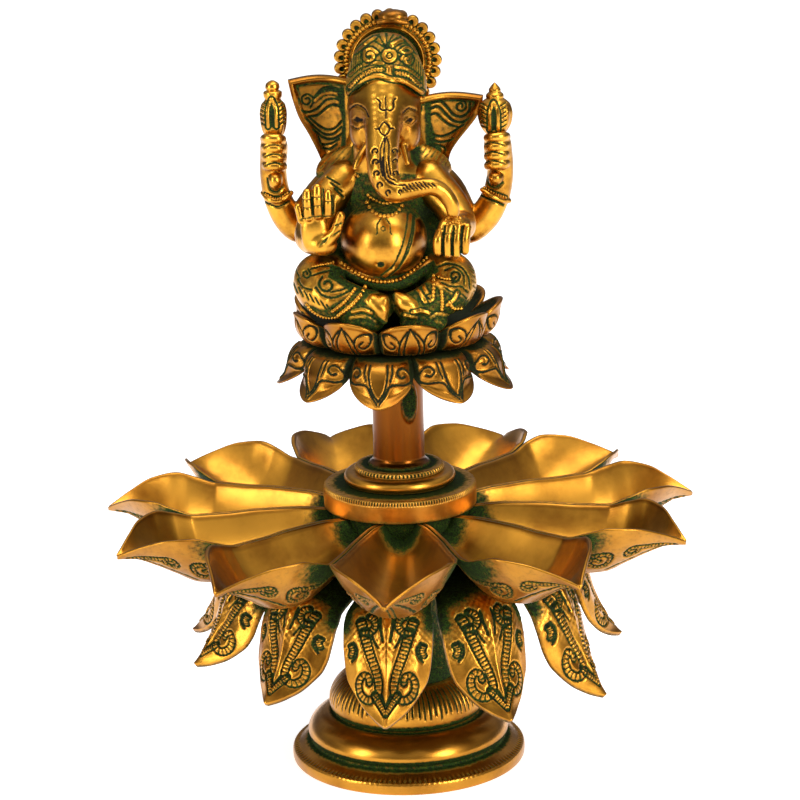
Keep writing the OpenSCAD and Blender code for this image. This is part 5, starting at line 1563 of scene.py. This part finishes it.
def right_charts():
    """The closed hand, and the arm behind it with its fist and armlets."""
    hand = Chart(-30.0)
    hand.patch([[14.6, 219], [14.6, 210], [19, 208], [28.6, 208.6], [29, 220], [26, 222.5],
                [18.4, 221]], -1.0, 0.0, 1.0)
    for x in (18.3, 21.8, 25.1):
        hand.line([[x + 0.8, 220.4], [x + 0.1, 215], [x, 209.4]], 0.9, -0.5, 1.0)
    for x, z in ((20, 217.6), (23.3, 217.8)):
        hand.line([[x - 1.3, z], [x + 1.5, z]], 0.5, -0.25, 0.6)
    arm = Chart(-5.0)
    arm.patch([[23, 228], [35, 228], [35, 252], [44, 252], [47, 240], [46, 222], [36, 208], [28, 210],
               [27, 218]], -0.8, 0.0, 1.5)
    arm.line([[36, 234.4], [37, 230.8], [39.6, 229.8], [42.4, 231.6]], 0.9, -0.4, 0.8)
    for z in (246.6, 243.0, 239.6):
        arm.line([[35.8, z], [38.6, z + 0.6], [43.2, z - 0.5]], 0.7, -0.3, 0.75)
    arm.line([[34.4, 230.2], [38.6, 228.4], [44, 226.2]], 0.9, -0.4, 0.9)
    arm.line([[33.4, 227.2], [37.6, 225], [42.6, 222.8]], 0.9, -0.45, 0.95)
    return [hand, arm]


def bud_chart(x, z):
    """A pointed arch on the bud's front, with slanting strokes beside it."""
    chart = Chart(-5.0)
    half = 1.6
    chart.line([[x - half, z - 5], [x - half, z + 1], [x - 0.8, z + 4], [x, z + 5.6],
                [x + 0.8, z + 4], [x + half, z + 1], [x + half, z - 5]], 1.1, 0.6, 0.9)
    chart.patch([[x - 0.7, z - 5.4], [x - 0.7, z + 1.6], [x, z + 3.4], [x + 0.7, z + 1.6],
                 [x + 0.7, z - 5.4]], 1.0, -0.4, 0.4)
    for k in range(6):
        level = z - 4.4 + 1.7 * k
        for side in (-1, 1):
            chart.line([[x + side * 2.6, level], [x + side * 4.8, level + 1.3]], 0.55, -0.35, 0.9)
    return chart


EAR_T = 3.0
EAR_BORDER = 2.6


def ear_piece(name, root, free, chart, material, hatch):
    """A cupped leaf of metal between a root edge and a free edge, with a rolled border: its front
    stands at y = 6 u + 3.6 sin(pi u) for a share u of the way out."""
    u, v = np.linspace(0, 1, 96), np.linspace(0, 1, 110)[:, None]
    root, free = (np.hstack([np.interp(v, np.linspace(0, 1, len(c)), c[:, k]) for k in (0, 1)])
                  for c in (spline(root, 12), spline(free, 12)))
    flat = root[:, None] * (1 - u[None, :, None]) + free[:, None] * u[None, :, None]
    flat[..., 1] += 1.3 * np.sin(math.pi * u) * (1 - v) ** 4
    depth = 6 * u + 3.6 * np.sin(math.pi * u) + 0 * v
    front = np.stack([flat[..., 0], depth, flat[..., 1]], -1)
    border = np.vstack([flat[0], flat[1:, -1], flat[-1, ::-1], flat[::-1, 0]])
    gap = stroke(flat.reshape(-1, 2), border[::3])[0].reshape(depth.shape)
    top = smooth((0.3 - v) / 0.16)
    roll = (0.3 + 0.9 * top) * np.sin(math.pi * np.clip(gap / EAR_BORDER, 0, 1)) + 0.2
    groove = cut(np.abs(gap - EAR_BORDER - 0.4), 1.0) * (0.15 + 0.85 * top)
    rise, dark, _ = (field.reshape(depth.shape)
                     for field in chart.lay(front.reshape(-1, 3), np.ones(depth.size)))
    rise = rise * smooth((gap - EAR_BORDER + 0.2) / 0.8)
    front[..., 1] -= np.where(gap < EAR_BORDER, roll, rise) - 0.25 * groove
    near_root = smooth((0.16 - u) / 0.16)
    patina = np.maximum(np.maximum(dark, 0.28) * smooth((gap - 1.2) / 1.2), 0.7 * groove)
    patina = np.maximum(patina, hatch * near_root * smooth(gap - 1.5))
    back = front[:, ::-1] * [1, 0, 1] + np.array([0, 1, 0]) * (depth[:, ::-1, None] + EAR_T)
    green = np.concatenate([patina, 0.2 + 0 * patina], 1)
    tone = np.concatenate([0.45 + 0.3 * smooth(u) + 0 * patina, 0.5 + 0 * patina], 1)
    rings = np.concatenate([front, back], 1)
    if free[0, 0] > root[0, 0]:
        rings, green, tone = rings[:, ::-1], green[:, ::-1], tone[:, ::-1]
    points, faces = capped(rings)
    finish_cast(name, points, faces, "figure_head", material, patina=np.clip(green, 0, 1).ravel(),
                tone=tone.ravel())


def make_ears(material):
    """The two ears, each with its own chased scrolls."""
    left = Chart(-5.0)
    left.curl(-31.6, 265.2, 2.9, 1.5, 300, 1, 0.8, -0.5)
    left.line([[-34.6, 266], [-34.6, 262.4], [-31.6, 260.6], [-27.6, 262], [-24.6, 265], [-21, 265.6],
               [-18.6, 264.6]], 1.0, -0.6)
    left.line([[-28.4, 266.4], [-25.6, 269.2], [-22, 269.8], [-19.4, 268.6]], 1.5, -0.7)
    left.line([[-28.6, 265], [-25.4, 267.4], [-21.6, 267.8], [-19, 266.6]], 0.9, 0.5, 0.7)
    left.line([[-31, 258.8], [-27.4, 259.6], [-24.4, 262], [-21.8, 263.2], [-18.6, 262.4]], 1.0, -0.6)
    left.line([[-32.4, 258.6], [-29.4, 255.4], [-25.6, 252.2], [-22, 252], [-18.8, 254.6]], 0.9,
              -0.55)
    left.line([[-30.4, 258.2], [-27.2, 255.4], [-24.2, 253.8], [-21.2, 254.2], [-18.6, 256.8]], 0.9,
              -0.55)
    left.line([[-29.6, 254], [-25.4, 250.6], [-21.6, 250.2], [-18.6, 252]], 1.0, -0.6)
    left.line([[-27.6, 251], [-26.4, 248.2], [-22.8, 248.4], [-19.8, 250]], 0.8, -0.5)
    left.line([[-26, 246.8], [-23.4, 246.2], [-20.8, 248]], 0.9, -0.5)
    left.line([[-26.8, 244.4], [-23.6, 243.6], [-20, 245.4]], 0.8, -0.5)
    left.patch([[-20.4, 270], [-17, 270], [-17, 246], [-19.4, 246], [-18.4, 256]], 0.9, 0.0, 1.5)
    ear_piece("ear_left", [[-14.6, 271.6], [-12.4, 265], [-12.4, 258], [-12.6, 252], [-14.6, 246.6],
                           [-18.4, 242.6], [-23.6, 239]], [[-38.6, 271.2], [-37.8, 267],
                                                           [-36.4, 261.6], [-34.6, 256.4],
                                                           [-31.4, 250.6], [-28.4, 244.2],
                                                           [-26.4, 239.2]], left, material, 0.95)
    right = Chart(-5.0)
    right.curl(26.8, 261.4, 2.6, 1.4, 120, -1, 0.8, -0.5)
    right.line([[16, 263.2], [19, 263.8], [21.6, 261.4], [24, 258.4], [27, 257.4], [30, 259.4],
                [30.4, 262.6]], 1.0, -0.6)
    right.line([[15.4, 260.8], [18.4, 261.4], [21, 258.8], [23.6, 256.2], [27, 255.2], [31, 257]],
               1.0, -0.6)
    right.line([[15.4, 258.4], [17.6, 258.8], [20, 256.4], [22.6, 254.4], [25.6, 253.4]], 0.9, -0.55)
    right.line([[15.2, 251.2], [19, 250], [23, 251.2], [26, 253.2], [28.6, 254.6]], 0.9, -0.55)
    right.line([[15.2, 249], [19, 247.8], [23, 248.6], [26, 250.4]], 0.9, -0.5)
    right.line([[14.8, 246.4], [18.6, 246.4], [20.8, 245], [20.4, 242.4], [17.6, 242]], 0.8, -0.5)
    right.line([[14.4, 244.2], [16.4, 242.2], [19.6, 240.6]], 0.9, -0.5)
    right.patch([[13, 264], [16, 264], [15.6, 256], [17.4, 250], [16, 243], [13, 243]], 0.85, 0.0,
                1.6)
    right.patch([[14.6, 247.6], [19, 247], [19.4, 243], [15.4, 243]], 0.8, -0.2, 1.0)
    ear_piece("ear_right", [[9.0, 263.6], [8.8, 259], [8.8, 254], [9.0, 249.4], [10, 245.4],
                            [13, 240.4], [17.6, 236.8]], [[35.6, 263.4], [35, 260.2], [33, 255.6],
                                                          [29.8, 251.4], [25.8, 246.6], [22.8, 242],
                                                          [21.6, 237.2]], right, material, 0.9)


HALO_CENTRE = (-0.4, 276.7)
HALO_R = 17.85
HALO_LOBES = 25
LOBE_R = 2.27
HALO_FRONT = 10.4
HALO_BACK = 14.4
HALO_WIDER = 1.03
RIDGE_R = 13.2
BEAD_R = 15.4
BEADS = 62


def make_halo(material):
    """A round plate: from its middle out, a hollow, a ridge, a bead ring and a ring of hooked lobes.
    Its edge is the outline of the lobes: r = R cos a + sqrt(lobe^2 - (R sin a)^2)."""
    angle = np.arange(HALO_LOBES * 24) / (HALO_LOBES * 24) * 2 * math.pi
    pitch = 2 * math.pi / HALO_LOBES
    off = (angle / pitch + 0.5) % 1 * pitch - pitch / 2
    outer = HALO_R * np.cos(off) + np.sqrt(np.maximum(LOBE_R ** 2 - (HALO_R * np.sin(off)) ** 2, 0.03))
    share = np.r_[np.linspace(0.02, 0.6, 10), np.linspace(0.62, 1, 52)][:, None]
    r = share * outer
    ridge = smooth(1 - np.abs(r - RIDGE_R) / 1.1)
    ball = 1 - (r - BEAD_R) ** 2 - (((angle * BEADS / (2 * math.pi)) % 1 - 0.5) * 2) ** 2
    across, out = r * np.sin(off), r * np.cos(off) - HALO_R
    disc = np.hypot(across, out)
    hook = smooth((LOBE_R + 0.1 - disc) / 0.6) * (r > 16.5)
    eye = smooth((1.15 - np.hypot(across - 0.3, 0.8 * out + 0.7)) / 0.5) * (r > 16.5)
    level = (1.2 * ridge + 0.8 * np.sqrt(np.clip(ball, 0, 1)) + 0.9 * hook - 0.9 * eye
             - 1.2 * smooth((12.8 - r) / 1.5) - 0.5 * smooth((share - 0.97) / 0.03))
    between = smooth((r - 16.4) / 0.4) * smooth((disc - LOBE_R + 0.5) / 0.4) * smooth((0.6 - out) / 0.8)
    dark = np.maximum.reduce([
        0.95 * smooth((12.9 - r) / 0.8), 0.95 * eye, 0.95 * between,
        np.where(ball > 0.1, 0, 0.85 * smooth(1.5 - np.abs(r - BEAD_R))),
        0.7 * smooth(1 - np.abs(r - 14.3) / 0.5)])

    def plate(radius, depth):
        return np.stack([HALO_CENTRE[0] + HALO_WIDER * radius * np.cos(angle), depth + 0 * radius,
                         HALO_CENTRE[1] + radius * np.sin(angle)], -1)

    back_share = np.array([1.0, 0.96, 0.6, 0.3, 0.02])[:, None]
    back_depth = HALO_BACK - np.array([1.2, 0, 0, 0, 0])[:, None]
    points, faces = tube_mesh(np.vstack([plate(r, HALO_FRONT + 0.9 - level),
                                         plate(back_share * outer, back_depth)]))
    patina = end_values(np.vstack([np.clip(dark, 0, 1), np.full((5, len(angle)), 0.4)]))
    finish_cast("halo", points, faces, "halo_arch", material, patina=patina)
    knob = Field((-8, 4, 288), (12, 18, 300), 0.4)
    knob.blob((1.9, 9.4, 294.1), (5.6, 4.0, 2.7), 0.5)
    knob.limb([[-3.4, 7.4, 292.2, 1.1], [2, 6.0, 292.8, 1.3], [7.0, 7.4, 291.8, 1.1]], 0.4)
    points, quads = knob.skin()
    finish_cast("halo_knob", points, [quads], "halo_arch", material, tone=np.full(len(points), 0.8),
                patina=0.25 + 0.5 * smooth((292 - points[:, 2]) / 2))


def make_beads(torso, left, right, material):
    """Rows of beads: each is its casting, its line, the beads' radius and their pitch."""
    points, faces = ball_mesh(np.vstack([bead_row(*row) for row in (
        (torso, [[-20.4, 205], [-15, 202], [-10, 199.8], [-4, 199], [2, 199.6], [7, 201.8],
                 [12.6, 205.4]], 0.85, 1.45, 0.6),
        (torso, [[-10, 228], [-8, 225.6], [-5, 224.2], [-2, 224], [1.2, 224.4], [3.8, 226.4]],
         0.95, 1.5),
        (torso, [[-9.6, 230.4], [-7, 228.2], [-3, 227.2], [1.6, 227.8], [4, 229.4]], 0.8, 1.3),
        (torso, [[-17.6, 241.6], [-15.6, 238.4], [-12, 236.4]], 0.7, 1.1),
        (torso, [[-10.6, 197.6], [-16, 192.4], [-22, 187.4]], 1.0, 1.25),
        (torso, [[-14.6, 197.8], [-18.6, 193.6], [-23.6, 189.4]], 0.8, 1.05),
        (torso, [[-33.6, 191.4], [-30.6, 188], [-25.8, 186], [-21, 187.2]], 0.8, 1.15),
        (torso, [[-31, 204.4], [-27, 205], [-22.6, 205.2]], 0.6, 0.95),
        (right, [[19.2, 222.6], [22.4, 224.2], [25.8, 222.8]], 0.7, 1.15),
        (right, [[19.6, 221], [22.6, 222.2], [26.4, 220.8]], 0.7, 1.15),
        (left, [[-48.8, 228.6], [-44, 227], [-39.8, 228.8]], 0.6, 1.0),
        (right, [[34.6, 229], [38.6, 227], [43.6, 224.8]], 0.6, 1.0),
        (torso, [[14.8, 201], [14.6, 197.4], [14.2, 194]], 0.9, 1.15),
        (torso, [[17.4, 196.4], [17.6, 192.4], [17.4, 189]], 0.9, 1.1),
        (torso, [[16.2, 200.4], [19, 199.8], [21.6, 199.6]], 0.7, 1.0),
        (torso, [[20, 192], [22, 188.6], [25.6, 187.6]], 0.9, 1.25))]))
    finish_cast("bead_rows", points, faces, "figure_body", material, patina=np.full(len(points), 0.05))


def rough_cloth(points):
    """Green crust with pale lumps over the cloth under the legs, the flanks and the shoulders."""
    x, y, z = points.T
    lumps = np.sin(x * 2.3 + 1) * np.sin(y * 2.1) * np.sin(z * 2.4 + 2)
    low = smooth((190 - z) / 5) * (0.7 + 0.4 * lumps)
    flanks = smooth((y + 17) / 6) * smooth((z - 200) / 5) * smooth((235 - z) / 3) * (0.8 + 0.3 * lumps)
    weave = 0.3 + 0.3 * np.sin((x - z) * 2.6) + 0.15 * lumps
    neck = smooth((16 - np.abs(x + 2)) / 5)
    above = smooth((z - 236) / 3) * smooth((y + 10) / 4) * np.maximum(neck, weave)
    front = smooth((12 - y) / 8)
    return np.clip(np.maximum(np.maximum(low, flanks), above) * (0.45 + 0.55 * front), 0, 1)


def halo_plate(x, y, z):
    """The halo's plate, as metal that shuts the head in."""
    disc = np.hypot(x - HALO_CENTRE[0], z - HALO_CENTRE[1]) < HALO_R
    return (disc & (y > HALO_FRONT) & (y < HALO_BACK)).astype(np.float32)


def seat_below(x, y, z):
    """The seat's floor, as metal that shuts the legs in."""
    return ((np.hypot(x, y) < 32) & (z < FIGURE_FLOOR + 0.2)).astype(np.float32)


def make_figure(material):
    """The figure's castings: their skins, and the ears, halo and beads as meshes of their own."""
    torso, left, right, head = torso_field(), left_arms_field(), right_arms_field(), head_field()
    hollows = Hollows([torso, left, right, head], [halo_plate, seat_below])
    for name, field, node, charts, green in (
            ("figure_torso", torso, "figure_body", torso_charts(), rough_cloth),
            ("arms_left", left, "figure_body", left_charts(), None),
            ("arms_right", right, "figure_body", right_charts(), None),
            ("head_and_trunk", head, "figure_head", head_charts(), None),
            ("bud_left", bud_field(LEFT_BUD), "figure_body", [bud_chart(-44.8, 260.4)], None),
            ("bud_right", bud_field(RIGHT_BUD), "figure_body", [bud_chart(39.2, 257.0)], None)):
        figure_skin(name, field, node, charts, green, hollows, material)
    make_beads(torso, left, right, material)
    make_ears(material)
    make_halo(material)


make_camera()
make_world()
make_floor()
make_lights()

# Name, colour where it is polished, tarnish, roughness and the size of its clouds in mm.
TURNED = brass("turned_brass_buffed", "#CE8E30", 0.34, 0.28, 22)
POLISH = brass("polished_brass_bowl", "#DA9A34", 0.36, 0.31, 18)
MILLED = brass("milled_brass_disc", "#DCA040", 0.32, 0.36, 10)
ENGRAVED = brass("engraved_cast_brass", "#CA8C2E", 0.4, 0.3, 12)
FIGURE = brass("figure_cast_brass", "#D69A33", 0.42, 0.29, 9)
ROUGH = brass("rough_cast_brass", "#A8762E", 0.8, 0.45, 7, crusted=0.85)
STEEL = steel("bright_mild_steel")
STEEL_NODES = ("tie_rod", "tie_nut", "washer")

make_foot(TURNED)
make_knop(ENGRAVED)
make_neck(TURNED)
make_leaves(ENGRAVED)
make_petals(POLISH)
make_collar(POLISH, MILLED)
make_column(TURNED)
make_lotus(ENGRAVED)
make_figure(FIGURE)

for name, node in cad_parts.items():
    if not node.hide_render:
        node.data.materials.clear()
        node.data.materials.append(STEEL if name in STEEL_NODES else ROUGH)
